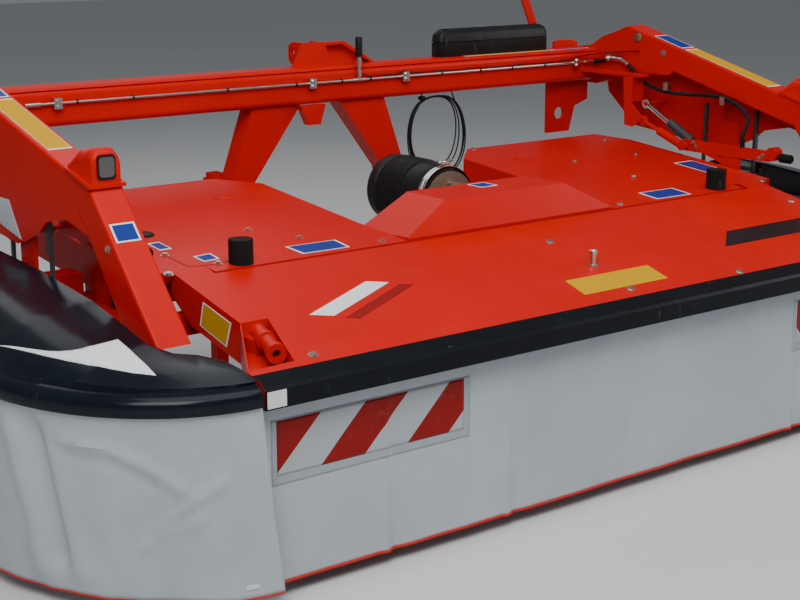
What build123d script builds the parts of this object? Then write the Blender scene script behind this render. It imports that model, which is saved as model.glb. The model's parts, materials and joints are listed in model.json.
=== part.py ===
"""Front-mounted disc mower: carrying frame, cutter bar, hood, side guards and parking legs.

Millimetres, +Z up, X across the machine, -Y the working direction. Lengths are laid out from the
back edge of the front bumper strip and the ground; every piece is then moved so that the origin is
the middle of the machine's outline on the ground.
"""
import math
import os

from build123d import *

os.makedirs("parts", exist_ok=True)

# Clearances
RUNNING = 0.05          # radial play of a shaft or hinge pin in its bore
SEAT = 0.3              # gap where a curved piece sits on another
SIDES = (-1, 1)         # left side, right side

# Cutter bar and discs
DISC_COUNT = 7
DISC_PITCH = 440.0
DISC_Y = 440.0
BAR_WIDTH = 300.0
BAR_BOTTOM = 14.0
BAR_HEIGHT = 50.0
BAR_END = 150.0         # bar length beyond the last disc centre
HUB_RADIUS = 70.0
HUB_HEIGHT = 26.0
DISC_LIFT = 5.0         # running gap between hub and disc
DISC_LONG = 190.0       # half length of the oval disc
DISC_SHORT = 145.0      # half width of the oval disc
DISC_PLATE = 10.0
DOME_RADIUS = 100.0
DOME_TOP_RADIUS = 42.0
DOME_HEIGHT = 34.0
DRUM_HEIGHT = 150.0     # crop drum on the two outer discs
DRUM_TOP_RADIUS = 120.0
SPINDLE_RADIUS = 20.0
SPINDLE_DEPTH = 40.0
KNIFE_REACH = 262.0
KNIFE_INNER = 140.0
KNIFE_WIDTH = 48.0
KNIFE_THICKNESS = 4.0
SKID_WIDTH = 260.0
SKID_FRONT = 60.0       # how far the skid runs ahead of the bar

# Carrying frame
ARM_INNER = 1425.0
ARM_WIDTH = 100.0
ARM_OUTER = ARM_INNER + ARM_WIDTH
WEB = 12.0
BEAM_Y = 1440.0
BEAM_DEPTH = 120.0
BEAM_BOTTOM = 1016.0
BEAM_HEIGHT = 125.0
BEAM_WALL = 8.0
BEAM_CORNER = 22.0
HOSE = 8.0              # radius of the arm hoses
LAMP_WIDTH = 84.0
LEG_WALL = 8.0
TUBE_CORNER = 9.0
ARM_FRONT = (331.0, 1010.0)     # y and z of the bend where arm and leg meet
ARM_SLOPE = 0.262
LEG_TOP = (393.0, 930.0)        # y and z of the lower corner between leg and arm

# Hood
SHEET = 4.0
STRIP_HALF = 1385.0
STRIP_BACK = -225.0
STRIP_FRONT = -285.0
STRIP_TOP = 605.0
STRIP_BOTTOM = 529.0
STRIP_CHAMFER = 24.0
PANEL_REAR = 348.0
PANEL_REAR_Z = 725.0
PANEL_HALF = STRIP_HALF - 135.0
TAB_INNER = PANEL_HALF - 110.0
TAB_REAR = 404.0
NOTCH_INNER = TAB_INNER + 24.0
NOTCH_REAR = 43.0
NOTCH_FRONT = -195.0
LATCH_RADIUS = 22.0
TRAY_Z = 580.0          # underside of the tray in the notch
HINGE_Y = 341.0
HINGE_Z = 708.0
HINGE_PIN = 5.0
HINGE_X = (150.0, 640.0, TAB_INNER - 50.0)
DECK_FRONT = 363.0
DECK_REAR = 1290.0
DECK_REAR_Z = 811.0
DECK_SLOPE = 0.0915
STRUT_WIDTH = 60.0      # across the machine, against the arm's inner face
SIDE_RAIL_INNER = ARM_INNER - STRUT_WIDTH
DECK_OUTER = SIDE_RAIL_INNER - 25.0
DECK_INNER = 455.0
DECK_DEPTH = 115.0
HUMP_TOP = 828.0
HUMP_TOP_HALF = 258.0
HUMP_BASE_HALF = 434.0
CANVAS_BOTTOM = 40.0
CANVAS = 5.0
CANVAS_TAPER = 68.0     # how much narrower each half is at its foot
FLAP_TAPER = 70.0       # how far the side canvas reaches in past the strip's end at its foot

# Rails under the hood
RAIL_BOTTOM = 560.0
RAIL_TOP = 620.0
RAIL_FRONT_Y = (345.0, 395.0)
RAIL_REAR_Y = (715.0, 775.0)
LEVER_X = (SIDE_RAIL_INNER - 17.0, SIDE_RAIL_INNER - 3.0)
LIFT_X = ARM_INNER - 23.0
LIFT_TOP = (BEAM_Y - 320.0, 945.0)
LIFT_LOW = (850.0, 808.0)
LIFT_PIN = 8.0
LINK_X = LEVER_X[0] - 19.0
LINK_EYE = 22.0         # width of the upper link's eyes
LINK_PIN = 7.0
LINK_TOP = (BEAM_Y - 370.0, 886.0)
LINK_TOP_TIP = (LINK_TOP[0] - 14.0, LINK_TOP[1] + 14.0)
STRUT_Y = (715.0, 805.0)
STRUT_BEND = 640.0
STRUT_TOP = 900.0

# Side guards
GUARD_INNER = ARM_OUTER + 20.0    # inner edge of a side guard beside the arm
GUARD_AXIS_X = ARM_OUTER + 35.0
GUARD_AXIS_Z = 710.0
GUARD_ROD = 8.0
GUARD_KNUCKLES = (642.0, 845.0)
KNUCKLE = 28.0
LUG = 13.0
GUARD_GAP = 13.0
GUARD_START = STRIP_HALF + GUARD_GAP
RIM_A = 492.0           # half axes of the rim's elliptical plan
RIM_B = 594.0
RIM_CENTRE_Y = 300.0
RIM_TOP = 581.0
RIM_HEIGHT = 38.0
GUARD_REAR = 1000.0
GUARD_WALL = 6.0
RIM_WALL = 8.0
CANVAS_HANG = (10.0, 30.0, 55.0, 75.0, 80.0, 80.0, 80.0, 75.0, 66.0, 48.0, 34.0)
FENDER_ROWS = (
    # rim angle in degrees, inner edge x, inner edge y, inner edge z
    (0, GUARD_START, -105, 622),
    (18, GUARD_START + 42, -56, 632),
    (36, GUARD_START + 102, -46, 644),
    (54, GUARD_INNER, 8, 664),
    (72, GUARD_INNER, 150, 693),
    (90, GUARD_INNER, 300, 719),
    (None, GUARD_INNER, 600, 745),
    (None, GUARD_INNER, GUARD_REAR, 760),
)

# Drive
PTO_Z = 760.0
PTO_RADIUS = 17.45
FLANGE_Y = 705.0
GUARD_RING = 104.0
COLUMN_RADIUS = 44.0

# Headstock and parking legs
HITCH_Z = 600.0
TOP_LINK_Z = 1200.0
TOP_LINK_BORE = 12.75
HITCH_PIN = 14.0
STAND_X = 400.0
STAND_HALF = 24.0
STAND_TOP = 780.0
STAND_FOOT = 70.0       # half width of the foot plate
HANK_X = 545.0          # middle of the stowed cable
HANK_LENGTH = 360.0
HANK_WIDTH = 230.0
HANK_BUNDLE = 30.0
HANK_LEAN = 0.35        # sideways run for each unit of drop
SLEEVE_WALL = 8.0


def deck_z(y):
    """Height of the rear covers' top face at y."""
    return DECK_REAR_Z - (DECK_REAR - y) * DECK_SLOPE


PANEL_SLOPE = (PANEL_REAR_Z - STRIP_TOP) / (350.0 - STRIP_BACK)


def panel_z(y):
    """Height of the front cover's top face at y."""
    return STRIP_TOP + (y - STRIP_BACK) * PANEL_SLOPE


def side_plate(points, x_low, x_high):
    """A plate or box whose outline lies in the YZ plane."""
    face = make_face(Plane.YZ * Polyline(*points, close=True))
    return Pos(x_low, 0, 0) * extrude(face, amount=x_high - x_low, dir=(1, 0, 0))


def cross_plate(points, y_low, y_high):
    """A plate or box whose outline lies in the XZ plane."""
    face = make_face(Polyline(*[(x, y_low, z) for x, z in points], close=True))
    return extrude(face, amount=y_high - y_low, dir=(0, 1, 0))


def plan_prism(points, low, high):
    """An upright prism on a plan outline."""
    face = make_face(Polyline(*points, close=True))
    return Pos(0, 0, low) * extrude(face, amount=high - low)


def block(x_range, y_range, z_range):
    """A box from three ranges."""
    size = [high - low for low, high in (x_range, y_range, z_range)]
    middle = [(high + low) / 2 for low, high in (x_range, y_range, z_range)]
    return Pos(*middle) * Box(*size)


def tube_box(x_range, y_range, z_range, wall, axis):
    """A rectangular tube open along one axis."""
    ranges = [x_range, y_range, z_range]
    inner = [
        (low - 1, high + 1) if index == axis else (low + wall, high - wall)
        for index, (low, high) in enumerate(ranges)
    ]
    return block(*ranges) - block(*inner)


def rod(start, end, radius):
    """A round bar between two points."""
    direction = Vector(*end) - Vector(*start)
    plane = Plane(origin=start, z_dir=direction)
    return extrude(plane * Circle(radius), amount=direction.length)


def ring(start, end, outer, inner):
    """A round sleeve between two points."""
    direction = Vector(*end) - Vector(*start)
    plane = Plane(origin=start, z_dir=direction)
    return extrude(plane * (Circle(outer) - Circle(inner)), amount=direction.length)


def mirrored(solid):
    """The same piece on the other side of the machine."""
    return mirror(solid, about=Plane.YZ)


def both(solid):
    """A pair of like pieces, one on each side."""
    return Compound(children=[mirrored(solid), solid])


def save(name, shape):
    """Write one node, moved to the machine's origin."""
    export_step(Pos(0, -ORIGIN_Y, 0) * shape, f"parts/{name}.step")


def below(solid, point, normal):
    """Keep what lies under a plane."""
    return split(solid, bisect_by=Plane(origin=point, z_dir=normal), keep=Keep.BOTTOM)


def above(solid, point, normal):
    """Keep what lies over a plane."""
    return split(solid, bisect_by=Plane(origin=point, z_dir=normal), keep=Keep.TOP)


def disc_centres():
    """X positions of the discs."""
    first = -(DISC_COUNT - 1) / 2 * DISC_PITCH
    return [first + index * DISC_PITCH for index in range(DISC_COUNT)]


HUB_TOP = BAR_BOTTOM + BAR_HEIGHT + HUB_HEIGHT
DISC_BOTTOM = HUB_TOP + DISC_LIFT
BAR_HALF = (DISC_COUNT - 1) / 2 * DISC_PITCH + BAR_END
BAR_FRONT = DISC_Y - BAR_WIDTH / 2
BAR_REAR = DISC_Y + BAR_WIDTH / 2
BEAM_TOP = BEAM_BOTTOM + BEAM_HEIGHT
HEADSTOCK_Y = (BEAM_Y + 20, BEAM_Y + 100)
STAND_Y = HEADSTOCK_Y[1] + SLEEVE_WALL + STAND_HALF
ORIGIN_Y = (RIM_CENTRE_Y - RIM_B + STAND_Y + STAND_FOOT) / 2


def make_crossbeam():
    """The square tube across the rear, with rounded long edges."""
    outline = Plane.YZ * Pos(BEAM_Y + BEAM_DEPTH / 2, (BEAM_BOTTOM + BEAM_TOP) / 2)
    outer = outline * RectangleRounded(BEAM_DEPTH, BEAM_HEIGHT, BEAM_CORNER)
    inner = outline * RectangleRounded(
        BEAM_DEPTH - 2 * BEAM_WALL, BEAM_HEIGHT - 2 * BEAM_WALL, BEAM_CORNER - BEAM_WALL
    )
    return Pos(-ARM_INNER, 0, 0) * extrude(outer - inner, amount=2 * ARM_INNER, dir=(1, 0, 0))


def long_edges(solid, start, end):
    """The edges of a side plate that run between two points of its outline."""
    way = Vector(0, end[0] - start[0], end[1] - start[1]).normalized()
    low = min(start[0], end[0]) - 1
    high = max(start[0], end[0]) + 1
    found = []
    for edge in solid.edges():
        first, last = edge @ 0, edge @ 1
        run = last - first
        if run.length > 50 and abs(abs(run.normalized().dot(way)) - 1) < 1e-4 and low < first.Y < high:
            reach = Vector(0, first.Y - start[0], first.Z - start[1])
            if (reach - way * reach.dot(way)).length < 1:
                found.append(edge)
    return found


def arm_top(y):
    """Height of the arm's top edge at y, in front of its peak."""
    return ARM_FRONT[1] + (y - ARM_FRONT[0]) * ARM_SLOPE


def make_arm():
    """The right arm: a box beam on a deep outer plate, and the jaws that clasp the crossbeam."""
    peak = BEAM_Y - 178
    box = side_plate(
        [ARM_FRONT, (peak, arm_top(peak)), (BEAM_Y - 118, 1229), (BEAM_Y - 31, 1201), (BEAM_Y + 38, 1161),
         (BEAM_Y + 135, 1150), (BEAM_Y + 135, 1005), (BEAM_Y, 1000), (BEAM_Y - 224, 1064),
         (BEAM_Y - 410, 1066), (BEAM_Y - 440, 1085), LEG_TOP],
        ARM_INNER, ARM_OUTER,
    )
    box = fillet(long_edges(box, ARM_FRONT, (peak, arm_top(peak))), TUBE_CORNER)
    web = side_plate(
        [(LEG_TOP[0] - 41, LEG_TOP[1] - 50), (473, 904), (599, 879), (648, 840), (741, 800), (800, 785),
         (975, 800), (BEAM_Y - 150, 830), (BEAM_Y + 10, 960), (BEAM_Y + 20, 1000), (BEAM_Y, 1002),
         (BEAM_Y - 224, 1066), (BEAM_Y - 410, 1068), (BEAM_Y - 440, 1087), (LEG_TOP[0] + 2, LEG_TOP[1] + 2), LEG_TOP],
        ARM_OUTER - WEB, ARM_OUTER,
    )
    pocket = side_plate(
        [(BEAM_Y - 290, 1080), (BEAM_Y, 1040), (BEAM_Y + 160, 1040), (BEAM_Y + 160, 1110), (BEAM_Y, 1115),
         (BEAM_Y - 190, 1170)],
        ARM_INNER + WEB, ARM_OUTER - WEB,
    )
    pin = rod((ARM_INNER - 34, *LIFT_TOP), (ARM_OUTER - WEB + 1, *LIFT_TOP), LIFT_PIN)
    peg = rod((ARM_OUTER - WEB - 60, 760, 955), (ARM_OUTER - WEB + 1, 760, 955), 9)
    return box + web - pocket + pin + peg


def make_leg():
    """The right front leg, a steep square tube with rounded edges that is open at its foot."""
    foot_z = 647
    outer = side_plate(
        [ARM_FRONT, (-10, foot_z), (159, foot_z), (LEG_TOP[0] - 41, LEG_TOP[1] - 50), LEG_TOP],
        ARM_INNER, ARM_OUTER,
    )
    edges = long_edges(outer, ARM_FRONT, (-10, foot_z))
    edges += long_edges(outer, (159, foot_z), (LEG_TOP[0] - 41, LEG_TOP[1] - 50))
    outer = fillet(edges, TUBE_CORNER)
    inner = side_plate(
        [(322, 988), (6, 652), (-4, 640), (145, 640), (335, 873)],
        ARM_INNER + LEG_WALL, ARM_OUTER - LEG_WALL,
    )
    return outer - inner


def make_strut():
    """The right hanger from the arm's outer plate down to the end of the cutter bar."""
    post = tube_box((SIDE_RAIL_INNER, ARM_INNER), STRUT_Y, (BAR_BOTTOM + BAR_HEIGHT, STRUT_BEND), 6, 2)
    step = tube_box((SIDE_RAIL_INNER, ARM_OUTER - WEB), STRUT_Y, (STRUT_BEND, STRUT_BEND + 50), 6, 0)
    plate = block((ARM_OUTER - 2 * WEB, ARM_OUTER - WEB), STRUT_Y, (STRUT_BEND + 50, STRUT_TOP))
    return post + step + plate


def make_rails():
    """The two cross rails under the hood."""
    front = tube_box((-SIDE_RAIL_INNER, SIDE_RAIL_INNER), RAIL_FRONT_Y, (RAIL_BOTTOM, RAIL_TOP), 5, 0)
    rear = tube_box((-SIDE_RAIL_INNER, SIDE_RAIL_INNER), RAIL_REAR_Y, (RAIL_BOTTOM, RAIL_TOP), 5, 0)
    return Compound(children=[front, rear])


def make_side_rail():
    """The right side rail from the strut forward past the front cross rail."""
    return tube_box(
        (SIDE_RAIL_INNER, ARM_INNER), (RAIL_FRONT_Y[0], STRUT_Y[0]), (RAIL_BOTTOM, RAIL_TOP), 5, 1
    )


def make_rear_cover():
    """The right rear cover: a sloping deck folded down at its edges."""
    plan = [
        (HUMP_BASE_HALF + 4, DECK_FRONT), (TAB_INNER - 10, DECK_FRONT), (TAB_INNER - 10, TAB_REAR + 12),
        (DECK_OUTER, TAB_REAR + 12), (DECK_OUTER, 1150), (1274, DECK_REAR), (580, DECK_REAR),
        (DECK_INNER, 1165), (DECK_INNER, 600),
    ]
    face = make_face(Polyline(*plan, close=True))
    outer = extrude(face, amount=1000)
    inner = extrude(offset(face, amount=-SHEET, kind=Kind.INTERSECTION), amount=1000)
    normal = (0, -DECK_SLOPE, 1)
    shell = below(outer, (0, DECK_REAR, DECK_REAR_Z), normal)
    shell -= below(inner, (0, DECK_REAR, DECK_REAR_Z - SHEET), normal)
    shell = above(shell, (0, DECK_REAR, DECK_REAR_Z - DECK_DEPTH), normal)
    opening = block((0, DECK_OUTER + 1), (DECK_FRONT - 1, RAIL_FRONT_Y[1] + 25), (500, 700))
    return shell - opening


def make_hood_posts():
    """Right posts that carry the rear cover on the rails."""
    posts = []
    front_y = (DECK_FRONT + SHEET + 1, RAIL_FRONT_Y[1])
    for x, y_range in ((DECK_OUTER - SHEET - 24, RAIL_REAR_Y), (560.0, RAIL_REAR_Y), (880.0, front_y)):
        post = block((x - 20, x + 20), y_range, (RAIL_TOP, DECK_REAR_Z - 11))
        posts.append(below(post, (0, DECK_REAR, DECK_REAR_Z - SHEET), (0, -DECK_SLOPE, 1)))
    return posts


def make_centre_cover():
    """The raised centre cover over the gearbox, open below and behind."""
    def form(inset):
        plan = [
            (-HUMP_BASE_HALF - 4 + SEAT + inset, DECK_FRONT + inset),
            (HUMP_BASE_HALF + 4 - SEAT - inset, DECK_FRONT + inset),
            (DECK_INNER - SEAT - inset, 600 + (1 if inset else 0)),
            (-DECK_INNER + SEAT + inset, 600 + (1 if inset else 0)),
        ]
        solid = plan_prism(plan, 700 - (1 if inset else 0), HUMP_TOP - inset)
        drop = HUMP_TOP - 738
        run = HUMP_BASE_HALF - HUMP_TOP_HALF
        for side in SIDES:
            solid = below(solid, (side * (HUMP_TOP_HALF - inset / 2), 0, HUMP_TOP - inset), (side * drop, 0, run))
        return below(solid, (0, 408 + inset / 2, HUMP_TOP - inset), (0, -(HUMP_TOP - 732), 408 - DECK_FRONT))
    return form(0) - form(SHEET)


def make_buffer():
    """The right rubber buffer that the opened front cover leans on."""
    rubber = Pos(TAB_INNER - 120, 402, 760) * Cylinder(36, 80)
    return above(rubber, (0, DECK_REAR, DECK_REAR_Z), (0, -DECK_SLOPE, 1))


def make_lamp():
    """Right lamp housing on the bend of the arm, a rounded hood on a lip, and its lens."""
    middle = (ARM_INNER + ARM_OUTER) / 2
    y, z = ARM_FRONT
    rear = y + 130
    dome = side_plate(
        [(rear, arm_top(rear)), (y + 105, arm_top(rear) + 22), (y + 66, z + 84), (y + 38, z + 97), (y + 12, z + 100),
         (y - 6, z + 92), (y - 7, z + 8), (y, z)],
        middle - LAMP_WIDTH / 2, middle + LAMP_WIDTH / 2,
    )
    crest = [edge for edge in dome.edges() if min((edge @ 0).Z, (edge @ 1).Z) > z + 20 and edge.length > 20]
    crest = [edge for edge in crest if abs((edge @ 0).X - (edge @ 1).X) < 1 and (edge @ 0.5).Y > y - 5]
    dome = fillet(crest, 16)
    lip = side_plate(
        [(y - 9, z - 2), (y - 9, z + 8), (y, z + 9), (rear, arm_top(rear) + 8), (rear, arm_top(rear)), (y, z)],
        ARM_INNER - 4, ARM_OUTER + 4,
    )
    recess = block((middle - 28, middle + 28), (y - 10, y), (z + 22, z + 86))
    lens = block((middle - 26, middle + 26), (y - 10, y - 0.3), (z + 24, z + 84))
    lens = fillet(lens.edges().filter_by(Axis.Y), 12)
    return dome - make_arm() + (lip - make_arm() - make_leg()) - recess, lens


def make_cutter_bar():
    """The long flat bar under the discs, with a bearing hub for each and end brackets."""
    profile = [
        (BAR_FRONT, BAR_BOTTOM + 12), (BAR_FRONT + 60, BAR_BOTTOM), (BAR_REAR, BAR_BOTTOM),
        (BAR_REAR, BAR_BOTTOM + BAR_HEIGHT), (BAR_FRONT + 70, BAR_BOTTOM + BAR_HEIGHT),
        (BAR_FRONT, BAR_BOTTOM + 30),
    ]
    bar = side_plate(profile, -BAR_HALF, BAR_HALF)
    for side in SIDES:
        x_low, x_high = sorted((side * SIDE_RAIL_INNER, side * ARM_INNER))
        bar += block((x_low, x_high), (BAR_REAR, STRUT_Y[1]), (BAR_BOTTOM, BAR_BOTTOM + BAR_HEIGHT))
    for x in disc_centres():
        hub_base = BAR_BOTTOM + BAR_HEIGHT
        bar += Pos(x, DISC_Y, hub_base + HUB_HEIGHT / 2) * Cylinder(HUB_RADIUS, HUB_HEIGHT)
        depth = SPINDLE_DEPTH + 1
        bar -= Pos(x, DISC_Y, HUB_TOP - depth / 2) * Cylinder(SPINDLE_RADIUS + RUNNING, depth)
    return bar


def make_skids():
    """A sliding shoe under each disc, turned up at the front."""
    shoes = []
    for x in disc_centres():
        shoe = side_plate(
            [(BAR_REAR + 30, 0), (BAR_REAR + 30, 6), (BAR_REAR, BAR_BOTTOM), (BAR_FRONT + 60, BAR_BOTTOM),
             (BAR_FRONT, BAR_BOTTOM + 12), (BAR_FRONT - 8, BAR_BOTTOM + 12), (BAR_FRONT - SKID_FRONT + 44, 8),
             (BAR_FRONT + 50, 0)],
            x - SKID_WIDTH / 2, x + SKID_WIDTH / 2,
        )
        shoes.append(shoe)
    return Compound(children=shoes)


def make_disc(x, turned, extra):
    """An oval cutting disc with its dome and spindle; extra is the drum or drive shaft on top."""
    oval = Ellipse(DISC_SHORT, DISC_LONG) if turned else Ellipse(DISC_LONG, DISC_SHORT)
    disc = Pos(x, DISC_Y, DISC_BOTTOM) * extrude(oval, amount=DISC_PLATE)
    top = DISC_BOTTOM + DISC_PLATE
    disc += Pos(x, DISC_Y, top + DOME_HEIGHT / 2) * Cone(DOME_RADIUS, DOME_TOP_RADIUS, DOME_HEIGHT)
    disc += Pos(x, DISC_Y, DISC_BOTTOM - (SPINDLE_DEPTH - DISC_LIFT - 5) / 2) * Cylinder(
        SPINDLE_RADIUS, SPINDLE_DEPTH + DISC_LIFT - 10 - DISC_LIFT + 5
    )
    if extra == "drum":
        disc += Pos(x, DISC_Y, top + DRUM_HEIGHT / 2) * Cone(DOME_RADIUS, DRUM_TOP_RADIUS, DRUM_HEIGHT)
    if extra == "shaft":
        disc += rod((x, DISC_Y, top + 10), (x, DISC_Y, RAIL_TOP - 10), SPINDLE_RADIUS)
    return disc


def make_knives(x, turned):
    """The two knives bolted under one disc."""
    knives = []
    for way in SIDES:
        blade = block((KNIFE_INNER, KNIFE_REACH), (-KNIFE_WIDTH / 2, KNIFE_WIDTH / 2), (0, KNIFE_THICKNESS))
        blade = Rot(0, 0, 90 * turned + (0 if way > 0 else 180)) * blade
        knives.append(Pos(x, DISC_Y, DISC_BOTTOM - KNIFE_THICKNESS) * blade)
    return Compound(children=knives)


def make_gearbox():
    """Gearbox block on its bed plate, with the round neck and flange for the input shaft."""
    case = fillet(block((-130, 130), (420, 590), (RAIL_TOP + 20, 806)).edges().filter_by(Axis.Y), 24)
    bed = block((-130, 130), (RAIL_FRONT_Y[0], RAIL_REAR_Y[1]), (RAIL_TOP, RAIL_TOP + 20))
    neck = rod((0, 580, PTO_Z), (0, FLANGE_Y - 15, PTO_Z), 62)
    flange = rod((0, FLANGE_Y - 15, PTO_Z), (0, FLANGE_Y + 60, PTO_Z), GUARD_RING - 8 - SEAT)
    bore = rod((0, 520, PTO_Z), (0, FLANGE_Y + 61, PTO_Z), PTO_RADIUS + 6 + RUNNING)
    shaft_hole = Pos(0, DISC_Y, RAIL_TOP + 10) * Cylinder(SPINDLE_RADIUS + 5, 60)
    return case + bed + neck + flange - bore - shaft_hole


def make_pto_guard():
    """The ribbed cone that covers the input shaft, clamped on the gearbox flange."""
    outer = [(GUARD_RING, FLANGE_Y), (GUARD_RING, FLANGE_Y + 58), (114, FLANGE_Y + 80)]
    y = FLANGE_Y + 130
    outer.append((114, y))
    for _ in range(6):
        outer += [(122, y + 12), (112, y + 24)]
        y += 24
    outer += [(122, y + 10), (128, y + 60)]
    inner = [(120, y + 60), (106, FLANGE_Y + 82), (GUARD_RING - 8, FLANGE_Y + 58), (GUARD_RING - 8, FLANGE_Y)]
    face = make_face(Polyline(*[(r, along) for r, along in outer + inner], close=True))
    return Pos(0, 0, PTO_Z) * revolve(face, Axis.Y)


def make_guard_clamp():
    """The bright band round the guard, with its screw block."""
    band = ring((0, FLANGE_Y + 4, PTO_Z), (0, FLANGE_Y + 30, PTO_Z), GUARD_RING + 6, GUARD_RING + SEAT)
    return band + block((-12, 12), (FLANGE_Y + 6, FLANGE_Y + 28), (PTO_Z + GUARD_RING + 3, PTO_Z + GUARD_RING + 18))


def make_input_shaft():
    """The input shaft with its splined stub."""
    journal = rod((0, 540, PTO_Z), (0, FLANGE_Y + 60, PTO_Z), PTO_RADIUS + 6)
    return journal + rod((0, FLANGE_Y + 60, PTO_Z), (0, FLANGE_Y + 190, PTO_Z), PTO_RADIUS)


def make_drive_column():
    """The fixed tube round the upright shaft, with its lower bearing."""
    tube = ring((0, DISC_Y, 240), (0, DISC_Y, RAIL_TOP), COLUMN_RADIUS, COLUMN_RADIUS - 10)
    bearing = ring((0, DISC_Y, 240), (0, DISC_Y, 270), COLUMN_RADIUS, SPINDLE_RADIUS + RUNNING)
    return tube + bearing


def make_headstock_leg():
    """Right leg of the coupling frame, with its hitch pin and the sleeve of the parking leg."""
    leg = cross_plate(
        [(90, BEAM_BOTTOM), (300, BEAM_BOTTOM), (398, 745), (440, 560), (350, 560), (297, 745)],
        *HEADSTOCK_Y,
    )
    pin_y = sum(HEADSTOCK_Y) / 2
    pin = rod((STAND_X + 20, pin_y, HITCH_Z), (520, pin_y, HITCH_Z), HITCH_PIN)
    collar = rod((STAND_X + 20, pin_y, HITCH_Z), (452, pin_y, HITCH_Z), 26)
    outer = STAND_HALF + SLEEVE_WALL
    sleeve = tube_box(
        (STAND_X - outer, STAND_X + outer), (STAND_Y - outer, STAND_Y + outer), (570, 760), SLEEVE_WALL - RUNNING, 2
    )
    return leg + collar + pin + sleeve


def make_stand():
    """Right parking leg: a square tube in its sleeve, with a foot plate."""
    leg = tube_box(
        (STAND_X - STAND_HALF, STAND_X + STAND_HALF), (STAND_Y - STAND_HALF, STAND_Y + STAND_HALF),
        (8, STAND_TOP), 5, 2,
    )
    foot = block((STAND_X - STAND_FOOT, STAND_X + STAND_FOOT), (STAND_Y - STAND_FOOT, STAND_Y + STAND_FOOT), (0, 8))
    return leg + foot


def make_top_link_bracket():
    """The upright bracket on the crossbeam that takes the top link's pin."""
    face_y = BEAM_Y + BEAM_DEPTH / 2
    rear = BEAM_Y + BEAM_DEPTH
    top = BEAM_TOP + 97
    front = cross_plate([(-98, BEAM_TOP), (98, BEAM_TOP), (47, top), (-47, top)], face_y, face_y + 12)
    wing = cross_plate(
        [(43, top - 4), (150, top - 2), (310, BEAM_TOP), (290, BEAM_TOP), (140, top - 12), (43, top - 16)],
        face_y + 10, face_y + 48,
    )
    wing += cross_plate(
        [(43, top - 2), (150, top - 4), (304, BEAM_TOP), (43, BEAM_TOP)], face_y + 38, face_y + 48,
    )
    bracket = front + wing
    for x_low in (-47, 35):
        bracket += side_plate(
            [(face_y + 12, BEAM_TOP), (rear, BEAM_TOP), (rear + 40, BEAM_TOP + 29), (rear + 40, top - 16),
             (rear + 15, top), (face_y + 12, top)], x_low, x_low + 12,
        )
    return bracket - rod((-60, rear + 12, TOP_LINK_Z), (60, rear + 12, TOP_LINK_Z), TOP_LINK_BORE)


def make_beam_bracket():
    """Right plate under the end of the crossbeam that carries the upper suspension link."""
    inner = ARM_INNER - 235
    y_low = BEAM_Y + 52
    plate = cross_plate(
        [(inner, BEAM_BOTTOM), (ARM_INNER, BEAM_BOTTOM), (ARM_INNER, BEAM_BOTTOM - 86),
         (ARM_INNER - 75, BEAM_BOTTOM - 111), (ARM_INNER - 105, BEAM_BOTTOM - 216), (inner, BEAM_BOTTOM - 216)],
        y_low, y_low + 14,
    )
    plate -= Pos(inner + 70, y_low + 7, BEAM_BOTTOM - 136) * Rot(90, 0, 0) * Cylinder(26, 40)
    rear = BEAM_Y + BEAM_DEPTH
    crown = cross_plate(
        [(ARM_INNER - 140, BEAM_TOP - 60), (ARM_INNER - 140, 1176), (ARM_INNER - 95, 1182), (ARM_INNER - 40, 1180),
         (ARM_INNER, 1170), (ARM_INNER, BEAM_TOP - 60)],
        rear, rear + 10,
    )
    hose_side = ARM_INNER - 2 * HOSE - 10
    ledge = block((ARM_INNER - 90, hose_side), (BEAM_Y - 330, BEAM_Y), (BEAM_BOTTOM + 40, BEAM_BOTTOM + 50))
    ledge += block((hose_side - 5, ARM_INNER), (BEAM_Y - 190, BEAM_Y), (BEAM_BOTTOM + 40, BEAM_BOTTOM + 50))
    hanger_x = LINK_X - LINK_EYE / 2
    hanger = side_plate(
        [(BEAM_Y - 270, BEAM_BOTTOM + 41), (BEAM_Y - 320, BEAM_BOTTOM + 41), (BEAM_Y - 320, 950), LINK_TOP_TIP,
         (BEAM_Y - 330, 858), (BEAM_Y - 285, 862)],
        hanger_x - 8, hanger_x,
    )
    pin = rod((hanger_x - 8, *LINK_TOP), (hanger_x + LINK_EYE + 2, *LINK_TOP), LINK_PIN)
    web = block((hanger_x - 8, hose_side), (BEAM_Y - 300, BEAM_Y - 290), (BEAM_BOTTOM - 60, BEAM_BOTTOM + 41))
    return plate + crown + ledge + hanger + pin + web


def make_upper_link():
    """Right upper link: a threaded bar in a tube, from the hanger down to the lever's pin."""
    top = Vector(LINK_X, *LINK_TOP)
    low = Vector(LINK_X, *LIFT_LOW)
    way = (low - top).normalized()
    half = LINK_EYE / 2
    link = rod(tuple(top + way * 12), tuple(low - way * 60), 8)
    link += rod(tuple(low - way * 135), tuple(low - way * 10), 17)
    for point in (top, low):
        link += rod((LINK_X - half, point.Y, point.Z), (LINK_X + half, point.Y, point.Z), 19)
    for point in (top, low):
        link -= rod((LINK_X - half - 1, point.Y, point.Z), (LINK_X + half + 1, point.Y, point.Z), LINK_PIN + SEAT)
    return link


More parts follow.
